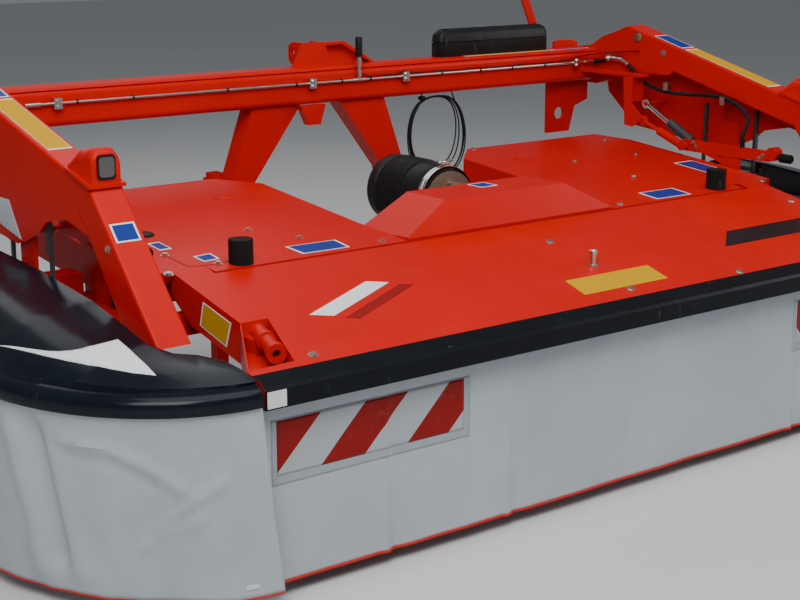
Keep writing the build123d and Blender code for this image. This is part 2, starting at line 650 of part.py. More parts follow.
def make_lift_cylinder():
    """Right lift cylinder and its rod, from the arm's web down to the lever."""
    top = Vector(LIFT_X, *LIFT_TOP)
    low = Vector(LIFT_X, *LIFT_LOW)
    way = (low - top).normalized()
    eye_x = (LIFT_X - 6, LIFT_X + 6)
    barrel_start = top + way * 150
    barrel = rod(tuple(barrel_start), tuple(low - way * 18), 20)
    barrel -= rod(tuple(barrel_start - way * 1), tuple(low - way * 60), 13)
    barrel += rod((eye_x[0], low.Y, low.Z), (eye_x[1], low.Y, low.Z), 22)
    barrel -= rod((eye_x[0] - 1, low.Y, low.Z), (eye_x[1] + 1, low.Y, low.Z), LIFT_PIN + SEAT)
    stem = rod(tuple(top + way * 14), tuple(low - way * 75), 10)
    stem += rod((eye_x[0], top.Y, top.Z), (eye_x[1], top.Y, top.Z), 20)
    stem -= rod((eye_x[0] - 1, top.Y, top.Z), (eye_x[1] + 1, top.Y, top.Z), LIFT_PIN + SEAT)
    return barrel, stem


def make_float_lever():
    """Right lever beside the strut that the lift cylinder pulls on."""
    end = LIFT_LOW[0] + 15
    bar = side_plate([(430, 792), (700, 786), (end, 786), (end + 10, 800), (end, 832), (430, 832)], *LEVER_X)
    bar += side_plate([(790, 790), (760, 786), (600, 740), (585, 752), (600, 760), (740, 800)], *LEVER_X)
    post = block((LEVER_X[0], SIDE_RAIL_INNER), (580, 640), (RAIL_BOTTOM + 10, 786))
    bush = rod((LEVER_X[0] - 6, 418, 822), (LEVER_X[1] + 18, 418, 822), 26)
    pin = rod((LEVER_X[1], *LIFT_LOW), (LIFT_X + 10, *LIFT_LOW), LIFT_PIN)
    link_pin = rod((LINK_X - LINK_EYE / 2 - 2, *LIFT_LOW), (LEVER_X[0], *LIFT_LOW), LINK_PIN)
    return bar + post + bush + pin + link_pin


def make_hinge_pins():
    """Pins and lugs on the front rail that carry the front cover."""
    lugs = []
    for x in [side * value for side in SIDES for value in HINGE_X]:
        lug = side_plate(
            [(332, HINGE_Z), (332, RAIL_TOP + 6), (RAIL_FRONT_Y[0], RAIL_TOP), (RAIL_FRONT_Y[1], RAIL_TOP),
             (RAIL_FRONT_Y[1], 640), (350, 688), (350, HINGE_Z)], x - 4, x + 4,
        )
        lug += rod((x - 4, HINGE_Y, HINGE_Z), (x + 4, HINGE_Y, HINGE_Z), 9)
        lug += rod((x - 24, HINGE_Y, HINGE_Z), (x + 24, HINGE_Y, HINGE_Z), HINGE_PIN)
        lugs.append(lug)
    return Compound(children=lugs)


def make_front_panel():
    """The front cover's sheet with its folded edges, hinge ears and the notches for the latches."""
    corner = [
        (STRIP_HALF, STRIP_BACK), (STRIP_HALF, NOTCH_FRONT - 10), (PANEL_HALF + 29, NOTCH_FRONT), (PANEL_HALF - 10, NOTCH_FRONT),
        (NOTCH_INNER, NOTCH_REAR), (PANEL_HALF, NOTCH_REAR), (PANEL_HALF, TAB_REAR), (TAB_INNER, TAB_REAR),
        (TAB_INNER, PANEL_REAR),
    ]
    plan = corner + [(-x, y) for x, y in reversed(corner)]
    prism = plan_prism(plan, 400, 900)
    normal = (0, -PANEL_SLOPE, 1)
    sheet = below(prism, (0, STRIP_BACK, STRIP_TOP), normal)
    sheet = above(sheet, (0, STRIP_BACK, STRIP_TOP - SHEET), normal)
    sheet += block((-STRIP_HALF, STRIP_HALF), (STRIP_BACK, STRIP_BACK + SHEET), (500, STRIP_TOP - 1))
    for side in SIDES:
        wall = side_plate(
            [(NOTCH_REAR, panel_z(NOTCH_REAR) - 2), (TAB_REAR, panel_z(TAB_REAR) - 2), (TAB_REAR, 668), (300, 600),
             (NOTCH_REAR, 548)], PANEL_HALF - SHEET, PANEL_HALF,
        )
        diagonal = plan_prism(
            [(PANEL_HALF - SHEET, NOTCH_REAR + 2), (PANEL_HALF, NOTCH_REAR + 2), (STRIP_HALF - 1, -203),
             (STRIP_HALF - 1, -215), (STRIP_HALF - 6, -215), (STRIP_HALF - 6, -203)], 548, 700,
        )
        diagonal = below(diagonal, (0, STRIP_BACK, STRIP_TOP - 2), normal)
        back = block(
            (NOTCH_INNER - 4, PANEL_HALF - 1), (NOTCH_REAR, NOTCH_REAR + SHEET), (TRAY_Z, panel_z(NOTCH_REAR) - 2)
        )
        tray = plan_prism(
            [(NOTCH_INNER - 3, NOTCH_REAR + 3), (PANEL_HALF - 1, NOTCH_REAR + 3), (STRIP_HALF - 4, -208),
             (PANEL_HALF - 12, -208)],
            TRAY_Z, TRAY_Z + SHEET,
        )
        flank = plan_prism(
            [(NOTCH_INNER, NOTCH_REAR), (PANEL_HALF - 10, NOTCH_FRONT), (PANEL_HALF - 14, NOTCH_FRONT),
             (NOTCH_INNER - 4, NOTCH_REAR),
             (NOTCH_INNER - 4, NOTCH_REAR + 2), (NOTCH_INNER + 2, NOTCH_REAR + 2)],
            TRAY_Z, 700,
        )
        flank = below(flank, (0, STRIP_BACK, STRIP_TOP - 2), normal)
        extras = wall + diagonal + back + flank + tray
        sheet += extras if side > 0 else mirrored(extras)
        for x in HINGE_X:
            for ear_x in (x - 14, x + 8):
                ear = side_plate(
                    [(325, HINGE_Z + 2), (325, panel_z(325) - 2), (346, panel_z(346) - 2), (349, HINGE_Z)],
                    ear_x, ear_x + 6,
                )
                ear += rod((ear_x, HINGE_Y, HINGE_Z), (ear_x + 6, HINGE_Y, HINGE_Z), 9)
                ear -= rod((ear_x - 1, HINGE_Y, HINGE_Z), (ear_x + 7, HINGE_Y, HINGE_Z), HINGE_PIN + RUNNING)
                sheet += ear if side > 0 else mirrored(ear)
    return sheet


def make_strip():
    """The thick bumper strip along the front edge."""
    return side_plate(
        [(STRIP_BACK, STRIP_TOP), (STRIP_FRONT + 8, STRIP_TOP - STRIP_CHAMFER + 4), (STRIP_FRONT, STRIP_TOP - STRIP_CHAMFER - 4),
         (STRIP_FRONT, STRIP_BOTTOM), (STRIP_BACK, STRIP_BOTTOM)], -STRIP_HALF, STRIP_HALF,
    )


def make_front_canvas():
    """The canvas that hangs below the strip, a little narrower at its foot."""
    top = STRIP_HALF - 5
    low = STRIP_HALF - CANVAS_TAPER
    return cross_plate(
        [(-top, STRIP_BOTTOM), (top, STRIP_BOTTOM), (low, CANVAS_BOTTOM), (-low, CANVAS_BOTTOM)],
        STRIP_BACK - CANVAS, STRIP_BACK,
    )


def make_latch():
    """Right latch tube that points forward out of the notch in the front cover."""
    start = Vector(NOTCH_INNER + 32, NOTCH_REAR, 632)
    way = (Vector(PANEL_HALF - 1, NOTCH_REAR - 163, 620) - start).normalized()
    tube = rod(tuple(start - way * 20), tuple(start + way * 165), LATCH_RADIUS)
    tube += rod(tuple(start + way * 165), tuple(start + way * 190), LATCH_RADIUS + 5)
    tube += rod(tuple(start + way * 70), tuple(start + way * 92), LATCH_RADIUS + 5)
    tube -= rod(tuple(start + way * 120), tuple(start + way * 191), LATCH_RADIUS / 2)
    foot = block((start.X - 6, start.X + 44), (NOTCH_REAR - 60, NOTCH_REAR), (TRAY_Z + SHEET, start.Z - 8))
    return below(tube + foot, (0, NOTCH_REAR, 0), (0, 1, 0))


def rim_point(angle):
    """A point on the rim's elliptical plan."""
    turn = math.radians(angle)
    return (GUARD_START + RIM_A * math.sin(turn), RIM_CENTRE_Y - RIM_B * math.cos(turn))


def fender_stations():
    """Pairs of inner edge point and rim point along the guard, evenly spaced round the quarter."""
    quarter = [row for row in FENDER_ROWS if row[0] is not None]
    stations = []
    for step in range(2 * len(quarter) - 1):
        low = quarter[step // 2]
        high = quarter[min(step // 2 + 1, len(quarter) - 1)]
        part = (step % 2) / 2
        angle, x, y, z = [a + part * (b - a) for a, b in zip(low, high)]
        stations.append(((x, y, z), rim_point(angle)))
    for _, x, y, z in FENDER_ROWS[len(quarter):]:
        stations.append(((x, y, z), (GUARD_START + RIM_A, y)))
    return stations


def crest_z(y):
    """Height of the guard's inner edge beside the arm at y."""
    rows = [row for row in FENDER_ROWS if row[1] == GUARD_INNER]
    for (_, _, y_low, z_low), (_, _, y_high, z_high) in zip(rows, rows[1:]):
        if y <= y_high:
            break
    return z_low + (z_high - z_low) * (y - y_low) / (y_high - y_low)


def fender_section(inner, rim):
    """Cross-section of the fender from its inner edge to its rim."""
    start = Vector(*inner)
    way = Vector(rim[0] - start.X, rim[1] - start.Y, 0)
    length = way.length
    way = way.normalized()
    shoulder = RIM_TOP + 14
    middle = start.Z - 0.22 * (start.Z - shoulder)
    row = [
        (0, start.Z), (0.5 * length, middle), (length - 26, shoulder), (length, RIM_TOP),
        (length, RIM_TOP - RIM_HEIGHT), (length - RIM_WALL, RIM_TOP - RIM_HEIGHT), (length - RIM_WALL, RIM_TOP - 8),
        (length - 34, shoulder - GUARD_WALL - 2), (0.5 * length, middle - GUARD_WALL), (0, start.Z - GUARD_WALL),
    ]
    points = [Vector(start.X + way.X * along, start.Y + way.Y * along, z) for along, z in row]
    return make_face(Polyline(*points, close=True))


def make_fender():
    """The right outer guard: a moulded quarter-round shell that runs back along the side."""
    shell = loft([fender_section(inner, rim) for inner, rim in fender_stations()], ruled=True)
    axis = (GUARD_AXIS_X, GUARD_AXIS_Z)
    for y_low in GUARD_KNUCKLES:
        y_high = y_low + KNUCKLE
        top = crest_z(y_low) - GUARD_WALL - 0.5
        shell += rod((axis[0], y_low, axis[1]), (axis[0], y_high, axis[1]), 2 * GUARD_ROD)
        shell += block((axis[0] - 10, axis[0] + 10), (y_low, y_high), (axis[1] + GUARD_ROD + 1, top))
        shell -= rod((axis[0], y_low - 1, axis[1]), (axis[0], y_high + 1, axis[1]), GUARD_ROD + RUNNING)
    return shell


def canvas_line():
    """Top and foot points of the side canvas along the rim, from the free edge back."""
    line = []
    for step, (start, rim) in enumerate(fender_stations()):
        way = Vector(rim[0] - start[0], rim[1] - start[1]).normalized()
        inset = RIM_WALL + SEAT
        hung = CANVAS_HANG[min(step, len(CANVAS_HANG) - 1)]
        top = Vector(rim[0] - way.X * inset, rim[1] - way.Y * inset, RIM_TOP - 12)
        low = Vector(rim[0] - way.X * hung, rim[1] - way.Y * hung, CANVAS_BOTTOM)
        if step == 0:
            low = Vector(STRIP_HALF - FLAP_TAPER + 20, STRIP_FRONT + 3, CANVAS_BOTTOM)
        line.append((top, low, way))
    return line


def make_side_canvas():
    """The canvas that hangs inside the right guard's rim and gathers inwards at its foot."""
    pieces = []
    line = canvas_line()
    for step, (top, low, way) in enumerate(line):
        inward = -way * CANVAS
        points = [top, low, low + inward, top + inward]
        pieces.append(make_face(Polyline(*points, close=True)))
    return loft(pieces, ruled=True)


def make_guard_hinge():
    """Right hinge rod of the side guard and the two bent lugs that hold it under the arm."""
    first = GUARD_KNUCKLES[0] - KNUCKLE / 4 - LUG
    last = GUARD_KNUCKLES[1] + KNUCKLE + KNUCKLE / 4
    inner = ARM_OUTER - WEB - 14
    outer = GUARD_AXIS_X + 15
    hinge = rod((GUARD_AXIS_X, first, GUARD_AXIS_Z), (GUARD_AXIS_X, last + LUG, GUARD_AXIS_Z), GUARD_ROD)
    for y_low in (first, last):
        hinge += cross_plate(
            [(inner, 960), (inner - 4, 780), (inner - 4, 655), (outer, 655), (outer, 722), (outer - 30, 722),
             (outer - 30, 675), (inner + 6, 675), (inner + 6, 776), (inner + 14, 784), (inner + 14, 960)],
            y_low, y_low + LUG,
        )
    return hinge - make_arm()


def make_hydraulic_line():
    """The rigid pipe along the crossbeam, with its tee and end fittings."""
    line_y, line_z = BEAM_Y - 8, 1096
    line = rod((-(ARM_INNER - 245), line_y, line_z), (ARM_INNER - 30, line_y, line_z), 5)
    line += rod((160, line_y, line_z), (160, line_y, 1180), 8)
    line += rod((160, line_y, 1180), (160, line_y, 1250), 11)
    ends = ((230 - ARM_INNER, 285 - ARM_INNER, 9), (ARM_INNER - 85, ARM_INNER - 30, 9), (130, 190, 8))
    for start, end, radius in ends:
        line += rod((start, line_y, line_z), (end, line_y, line_z), radius - 1.2)
    return line


def make_arm_hose():
    """Right hose from the pipe's end along the arm's web down to the lever."""
    x = ARM_INNER - HOSE - 5
    line_y, line_z = BEAM_Y - 8, 1096
    lever_x = LEVER_X[1] - 7
    route = [
        (x - 4, line_y - 9, line_z), (x, line_y - 60, line_z + 10), (x, BEAM_Y - 150, 1116),
        (x, BEAM_Y - 209, 1086), (x, BEAM_Y - 280, 1038), (x, 832, 1005), (x, 651, 982), (x - 10, 585, 930),
        (lever_x, 568, 877), (lever_x, 568, 847),
    ]
    path = Spline(*route)
    hose = sweep(Plane(origin=path @ 0, z_dir=path % 0) * Circle(HOSE), path=path)
    elbow = block((ARM_INNER - 30, ARM_INNER - 8), (line_y - 10, line_y + 8), (line_z - 9, line_z + 9))
    return hose + elbow + rod((lever_x, 568, 832), (lever_x, 568, 864), HOSE + 2)


def make_line_clamps():
    """The clamp blocks that hold the pipe on the crossbeam."""
    blocks = []
    for x in (345 - ARM_INNER, -57, 379, ARM_INNER - 135):
        clamp = block((x - 15, x + 15), (BEAM_Y - 20, BEAM_Y), (1078, 1114))
        blocks.append(clamp - rod((x - 16, BEAM_Y - 8, 1096), (x + 16, BEAM_Y - 8, 1096), 5 + SEAT))
    for y, z in ((BEAM_Y - 420, 1023), (720, 992)):
        clip = block((ARM_INNER - 2 * HOSE - 8, ARM_INNER), (y - 12, y + 12), (z - HOSE - 8, z + HOSE + 8))
        clip -= make_arm_hose()
        blocks += [clip, mirrored(clip)]
    return Compound(children=blocks)


def make_document_box():
    """The rounded plastic box on top of the crossbeam."""
    box = block((ARM_INNER - 828, ARM_INNER - 243), (BEAM_Y + 4, BEAM_Y + 116), (BEAM_TOP, BEAM_TOP + 108))
    box = fillet(box.edges().filter_by(Axis.Z), 34)
    return fillet(box.faces().sort_by(Axis.Z)[-1].edges(), 26)


def make_lock_lever():
    """The leaning flat bar behind the crossbeam."""
    rear = BEAM_Y + BEAM_DEPTH
    foot, top = ARM_INNER - 193, ARM_INNER - 355
    return cross_plate([(foot, 1060), (foot + 40, 1060), (top + 40, 1420), (top, 1420)], rear, rear + 10)


def make_cable_hank():
    """The stowed cable's hank: a flat bundle that hangs from the crossbeam."""
    y_low = BEAM_Y + 22
    middle = (HANK_X, BEAM_BOTTOM - HANK_LENGTH / 2)
    ring_face = Ellipse(HANK_LENGTH / 2, HANK_WIDTH / 2) - Ellipse(HANK_LENGTH / 2 - HANK_BUNDLE, HANK_WIDTH / 2 - HANK_BUNDLE)
    plane = Plane(origin=(middle[0], y_low, middle[1]), x_dir=(HANK_LEAN, 0, -1), z_dir=(0, 1, 0))
    hank = extrude(plane * ring_face, amount=HANK_BUNDLE)
    strap = block((HANK_X - 60, HANK_X - 20), (y_low, y_low + HANK_BUNDLE), (BEAM_BOTTOM - 90, BEAM_BOTTOM))
    return hank + strap


def save_all():
    """Build and write every node."""
    save("crossbeam", make_crossbeam())
    save("arms", both(make_arm()))
    save("legs", both(make_leg()))
    save("end_struts", both(make_strut()))
    save("cross_rails", make_rails())
    save("side_rails", both(make_side_rail()))
    save("rear_covers", both(make_rear_cover()))
    posts = make_hood_posts()
    save("hood_posts", Compound(children=posts + [mirrored(post) for post in posts]))
    save("centre_cover", make_centre_cover())
    save("buffers", both(make_buffer()))
    housing, lens = make_lamp()
    save("lamp_housings", both(housing))
    save("lamp_lenses", both(lens))
    save("cutter_bar", make_cutter_bar())
    save("skids", make_skids())
    centres = disc_centres()
    for index, x in enumerate(centres):
        turned = index % 2
        extra = ""
        if index in (0, len(centres) - 1):
            extra = "drum"
        if index == len(centres) // 2:
            extra = "shaft"
        save(f"disc_{index + 1}", make_disc(x, turned, extra))
        save(f"knives_{index + 1}", make_knives(x, turned))
    save("gearbox", make_gearbox())
    save("pto_guard", make_pto_guard())
    save("guard_clamp", make_guard_clamp())
    save("input_shaft", make_input_shaft())
    save("drive_column", make_drive_column())
    save("headstock_legs", both(make_headstock_leg()))
    stand = make_stand()
    save("stand_left", mirrored(stand))
    save("stand_right", stand)
    save("top_link_bracket", make_top_link_bracket())
    save("beam_brackets", both(make_beam_bracket()))
    save("upper_links", both(make_upper_link()))
    barrel, stem = make_lift_cylinder()
    save("lift_barrels", both(barrel))
    save("lift_rods", both(stem))
    save("float_levers", both(make_float_lever()))
    save("hood_hinges", make_hinge_pins())
    save("front_panel", make_front_panel())
    save("bumper_strip", make_strip())
    save("front_canvas", make_front_canvas())
    save("latches", both(make_latch()))
    fender = make_fender()
    canvas = make_side_canvas()
    for side, suffix in ((-1, "left"), (1, "right")):
        save(f"fender_{suffix}", fender if side > 0 else mirrored(fender))
        save(f"side_canvas_{suffix}", canvas if side > 0 else mirrored(canvas))
    save("guard_hinges", both(make_guard_hinge()))
    save("hydraulic_line", make_hydraulic_line())
    save("line_clamps", make_line_clamps())
    save("arm_hoses", both(make_arm_hose()))
    save("document_box", make_document_box())
    save("lock_lever", make_lock_lever())
    save("cable_hank", make_cable_hank())


save_all()
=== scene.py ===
"""Dresses the front disc mower over its fixed frame: paint, guards, canvases, cables, labels and lamps."""
import json
import logging
import math
from dataclasses import dataclass
from enum import Enum
from typing import Sequence

import bmesh
import bpy
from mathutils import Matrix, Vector, noise
from mathutils.bvhtree import BVHTree


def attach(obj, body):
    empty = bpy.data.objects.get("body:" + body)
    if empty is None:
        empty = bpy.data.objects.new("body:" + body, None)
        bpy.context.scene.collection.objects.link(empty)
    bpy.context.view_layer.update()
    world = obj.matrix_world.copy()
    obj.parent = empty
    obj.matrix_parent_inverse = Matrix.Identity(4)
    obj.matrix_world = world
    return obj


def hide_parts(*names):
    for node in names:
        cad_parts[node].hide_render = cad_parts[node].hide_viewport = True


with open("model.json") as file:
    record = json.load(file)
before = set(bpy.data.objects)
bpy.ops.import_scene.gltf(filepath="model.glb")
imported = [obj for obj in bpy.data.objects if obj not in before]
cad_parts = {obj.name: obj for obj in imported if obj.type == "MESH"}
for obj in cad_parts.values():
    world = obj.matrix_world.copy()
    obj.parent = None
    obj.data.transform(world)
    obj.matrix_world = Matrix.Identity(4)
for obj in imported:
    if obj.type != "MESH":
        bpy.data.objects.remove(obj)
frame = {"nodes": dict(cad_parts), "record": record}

Point = tuple[float, float, float]
Pair = tuple[float, float]
Colour = tuple[float, float, float]
Shape = tuple[list[Vector], list[tuple[int, ...]]]
Piece = bpy.types.Object
Material = bpy.types.Material

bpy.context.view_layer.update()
LOG = logging.getLogger("mower")
MM = 0.001
DATUM_Y = 674.0  # from the back edge of the bumper strip to the machine's origin
SIDES = ((-1, "left"), (1, "right"))
UP = Vector((0, 0, 1))
BACK = Vector((0, 1, 0))
SHARP_EDGE = math.radians(38)


def at(x: float, y: float, z: float) -> Vector:
    """A point given in millimetres from the strip's back edge, in the machine's frame."""
    return Vector((x * MM, (y - DATUM_Y) * MM, z * MM))


class Signal:
    """A number on its way through a shader, with arithmetic."""

    def __init__(self, maker: "ShaderMaker", socket: bpy.types.NodeSocket) -> None:
        """Keep the shader and the socket that the number comes from."""
        self.maker = maker
        self.socket = socket

    def __add__(self, other: object) -> "Signal":
        """Sum."""
        return self.maker.math("ADD", self, other)

    __radd__ = __add__

    def __sub__(self, other: object) -> "Signal":
        """Difference."""
        return self.maker.math("SUBTRACT", self, other)

    def __rsub__(self, other: object) -> "Signal":
        """Difference from a plain number."""
        return self.maker.math("SUBTRACT", other, self)

    def __mul__(self, other: object) -> "Signal":
        """Product."""
        return self.maker.math("MULTIPLY", self, other)

    __rmul__ = __mul__


class ShaderMaker:
    """Builds one node-based material on a Principled shader."""

    def __init__(self, name: str) -> None:
        """Start a material that has only its shader and output.

        Args:
            name: The material's name.
        """
        self.material = bpy.data.materials.new(name)
        self.material.use_nodes = True
        self.tree = self.material.node_tree
        self.tree.nodes.clear()
        self.surface = self.tree.nodes.new("ShaderNodeBsdfPrincipled")
        output = self.tree.nodes.new("ShaderNodeOutputMaterial")
        self.tree.links.new(self.surface.outputs[0], output.inputs[0])

    def node(
        self, kind: str, settings: dict | None = None, values: dict | None = None, output: object = 0,
    ) -> Signal:
        """Add a node.

        Args:
            kind: The node's type.
            settings: Its properties.
            values: Values or links of its sockets, by name or number.
            output: The output that is used.

        Returns:
            The signal that leaves the node.
        """
        made = self.tree.nodes.new(kind)
        for key, value in (settings or {}).items():
            setattr(made, key, value)
        for key, value in (values or {}).items():
            self.feed(made.inputs[key], value)
        return Signal(self, made.outputs[output])

    def feed(self, socket: bpy.types.NodeSocket, value: object) -> None:
        """Give a socket its input.

        Args:
            socket: The socket.
            value: A signal to link, or a plain value to set.
        """
        if isinstance(value, Signal):
            self.tree.links.new(value.socket, socket)
        else:
            socket.default_value = value

    def math(self, operation: str, first: object, second: object) -> Signal:
        """Combine two numbers."""
        return self.node("ShaderNodeMath", {"operation": operation}, {0: first, 1: second})

    def mix(self, amount: object, first: object, second: object) -> Signal:
        """Blend two colours."""
        return self.node("ShaderNodeMix", {"data_type": "RGBA"}, {0: amount, 6: first, 7: second}, 2)

    def place(self) -> Signal:
        """Object coordinates."""
        return self.node("ShaderNodeTexCoord", output="Object")

    def grain(self, scale: float, detail: float = 4.0, stretch: Point = (1, 1, 1)) -> Signal:
        """Noise in object space.

        Args:
            scale: How fine it is, per metre.
            detail: Its octaves.
            stretch: A factor along each axis.

        Returns:
            The noise, from 0 to 1.
        """
        where = self.node("ShaderNodeMapping", values={"Vector": self.place(), "Scale": stretch})
        return self.node("ShaderNodeTexNoise", values={"Vector": where, "Scale": scale, "Detail": detail})

    def patches(
        self, scale: float, detail: float, low: float, high: float, stretch: Point = (1, 1, 1),
    ) -> Signal:
        """Noise whose part between two limits is stretched to 0 to 1."""
        values = {0: self.grain(scale, detail, stretch), 1: low, 2: high}
        return self.node("ShaderNodeMapRange", values=values)

    def wave(self, direction: str, scale: float, distortion: float = 0.0) -> Signal:
        """Parallel bands that follow each other along an axis."""
        values = {"Vector": self.place(), "Scale": scale, "Distortion": distortion}
        return self.node("ShaderNodeTexWave", {"bands_direction": direction}, values)

    def comb(self, strength: float) -> Signal:
        """The relief of reflective film's fine cells."""
        cells = self.node("ShaderNodeTexVoronoi", values={"Vector": self.place(), "Scale": 260.0})
        return self.bump(cells, 0.0002, strength)

    def bump(
        self, height: Signal, distance: float, strength: float = 1.0, under: Signal | None = None,
    ) -> Signal:
        """Relief from a height.

        Args:
            height: The height, from 0 to 1.
            distance: Its depth in metres.
            strength: How much of it is used.
            under: Relief that this one lies on.

        Returns:
            The normal.
        """
        values = {"Strength": strength, "Distance": distance, "Height": height}
        if under:
            values["Normal"] = under
        return self.node("ShaderNodeBump", values=values)

    def finish(self, **sockets: object) -> Material:
        """Feed the shader's sockets and hand over the material.

        Args:
            sockets: Values or signals by socket name, with _ for a space.

        Returns:
            The material.
        """
        for key, value in sockets.items():
            self.feed(self.surface.inputs[key.replace("_", " ")], value)
        return self.material


def tone(colour: Colour, factor: float = 1.0) -> tuple[float, float, float, float]:
    """A colour with alpha, brighter or darker by a factor."""
    return (colour[0] * factor, colour[1] * factor, colour[2] * factor, 1.0)


@dataclass(frozen=True)
class Paint:
    """Gloss paint on sheet and tube, with a little dust and small chips."""

    name: str
    colour: Colour
    roughness: float = 0.36
    coat: float = 0.03
    dust: float = 0.015
    dust_colour: Colour = (0.42, 0.36, 0.3)
    chip_colour: Colour = (0.16, 0.1, 0.08)

    def build(self) -> Material:
        """Make the material.

        Returns:
            The material.
        """
        maker = ShaderMaker(self.name)
        clouds = maker.patches(2.2, 3, 0.3, 0.75)
        base = maker.mix(clouds, tone(self.colour, 0.94), tone(self.colour, 1.05))
        film = maker.patches(9, 6, 0.52, 0.8) * self.dust
        base = maker.mix(film, base, tone(self.dust_colour))
        chips = maker.patches(120, 5, 0.735, 0.76)
        base = maker.mix(chips * 0.5, base, tone(self.chip_colour))
        peel = maker.bump(maker.grain(420, 2), 0.0002, 0.12)
        rough = maker.grain(30, 5) * 0.12 + (self.roughness - 0.06) + film * 2
        return maker.finish(
            Base_Color=base, Roughness=rough, Normal=peel, Coat_Weight=self.coat, Coat_Roughness=0.12,
            IOR=1.33, Specular_IOR_Level=0.2,
        )


@dataclass(frozen=True)
class Moulding:
    """Moulded plastic or rubber with a fine grain."""

    name: str
    colour: Colour
    roughness: float = 0.42
    grain: float = 700.0
    depth: float = 0.25
    sheen: float = 1.25
    coat: float = 0.0
    scuffs: float = 0.35
    scuff_colour: Colour = (0.2, 0.2, 0.2)

    def build(self) -> Material:
        """Make the material.

        Returns:
            The material.
        """
        maker = ShaderMaker(self.name)
        cloud = maker.patches(5, 5, 0.35, 0.7)
        base = maker.mix(cloud, tone(self.colour, 0.88), tone(self.colour, self.sheen))
        scuffs = maker.patches(60, 6, 0.66, 0.74, (1, 1, 0.25))
        base = maker.mix(scuffs * self.scuffs, base, tone(self.scuff_colour))
        rough = maker.grain(14, 5) * 0.16 + (self.roughness - 0.08) + scuffs * 0.12
        relief = maker.bump(maker.grain(self.grain, 3), 0.0003, self.depth)
        return maker.finish(
            Base_Color=base, Roughness=rough, Normal=relief, Coat_Weight=self.coat, Coat_Roughness=0.08,
            IOR=1.38, Specular_IOR_Level=0.22,
        )


@dataclass(frozen=True)
class CoatedCanvas:
    """Coated fabric: a fine weave under a plastic film, with rubbed and dusty places."""

    name: str
    colour: Colour
    roughness: float = 0.5
    threads: float = 190.0

    def build(self) -> Material:
        """Make the material.

        Returns:
            The material.
        """
        maker = ShaderMaker(self.name)
        weave = maker.wave("X", self.threads, 1.5) + maker.wave("Z", self.threads, 1.5)
        cloud = maker.patches(3.5, 5, 0.3, 0.72)
        base = maker.mix(cloud, tone(self.colour, 0.92), tone(self.colour, 1.06))
        spots = maker.patches(55, 3, 0.74, 0.8)
        base = maker.mix(spots * 0.35, base, tone(self.colour, 0.35))
        streaks = maker.patches(16, 6, 0.55, 0.8, (1, 1, 0.15))
        base = maker.mix(streaks * 0.16, base, tone(self.colour, 0.72))
        dents = maker.bump(maker.grain(7, 5), 0.012, 0.35)
        relief = maker.bump(weave, 0.00025, 0.3, dents)
        rough = cloud * 0.1 + streaks * 0.1 + self.roughness
        return maker.finish(Base_Color=base, Roughness=rough, Normal=relief)


@dataclass(frozen=True)
class Metal:
    """Bare, plated or cast metal with fine scratches."""

    name: str
    colour: Colour
    roughness: float = 0.35
    metallic: float = 1.0
    rust: float = 0.0
    rust_colour: Colour = (0.16, 0.065, 0.03)

    def build(self) -> Material:
        """Make the material.

        Returns:
            The material.
        """
        maker = ShaderMaker(self.name)
        lines = maker.grain(260, 4, (1, 0.12, 1))
        base = maker.mix(lines, tone(self.colour, 0.8), tone(self.colour, 1.12))
        stain = maker.patches(38, 6, 0.55, 0.7) * self.rust
        base = maker.mix(stain, base, tone(self.rust_colour))
        rough = lines * 0.16 + (self.roughness - 0.08) + stain * 0.3
        relief = maker.bump(maker.grain(500, 3), 0.0002, 0.2)
        return maker.finish(Base_Color=base, Roughness=rough, Metallic=self.metallic - stain, Normal=relief)


@dataclass(frozen=True)
class Film:
    """Printed or reflective film stuck on a surface."""

    name: str
    colour: Colour
    roughness: float = 0.35
    cells: float = 0.0

    def build(self) -> Material:
        """Make the material.

        Returns:
            The material.
        """
        maker = ShaderMaker(self.name)
        wear = maker.patches(40, 6, 0.6, 0.85)
        base = maker.mix(wear * 0.3, tone(self.colour), tone(self.colour, 0.78))
        rough = wear * 0.2 + self.roughness
        relief = maker.comb(0.02 + self.cells)
        return maker.finish(Base_Color=base, Roughness=rough, Normal=relief, Specular_IOR_Level=0.12)


@dataclass(frozen=True)
class SlantedStripes:
    """Reflective film with red and white stripes at 45 degrees, mirrored about the machine's middle."""

    name: str
    # The film's red and white, both set darker as painted shade: they stand in for the strip's shadow on
    # the panels.
    red: Colour = (0.27, 0.004, 0.003)
    white: Colour = (0.42, 0.44, 0.46)
    worn: Colour = (0.3, 0.3, 0.31)
    period: float = 0.282
    start: float = -1.664

    def build(self) -> Material:
        """Make the material.

        Returns:
            The material.
        """
        maker = ShaderMaker(self.name)
        across = maker.node("ShaderNodeSeparateXYZ", values={0: maker.place()})
        up = Signal(maker, across.socket.node.outputs["Z"])
        run = maker.math("ABSOLUTE", across, 0.0) * -1.0 - up - self.start
        turn = maker.math("FLOORED_MODULO", run, self.period)
        red = maker.math("GREATER_THAN", turn, self.period / 2)
        wear = maker.patches(40, 6, 0.6, 0.85)
        # Both stripe colours carry painted shade from the strip above.
        base = maker.mix(red, tone(self.white), tone(self.red))
        base = maker.mix(wear * 0.12, base, tone(self.worn))
        rough, relief = wear * 0.2 + 0.36, maker.comb(0.3)
        return maker.finish(Base_Color=base, Roughness=rough, Normal=relief, Specular_IOR_Level=0.2)


@dataclass(frozen=True)
class Glass:
    """A clear lens."""

    name: str
    colour: Colour = (0.13, 0.125, 0.12)

    def build(self) -> Material:
        """Make the material.

        Returns:
            The material.
        """
        maker = ShaderMaker(self.name)
        relief = maker.bump(maker.wave("X", 45.0), 0.001, 0.5)
        return maker.finish(Base_Color=tone(self.colour), Roughness=0.08, Normal=relief, Alpha=0.8)


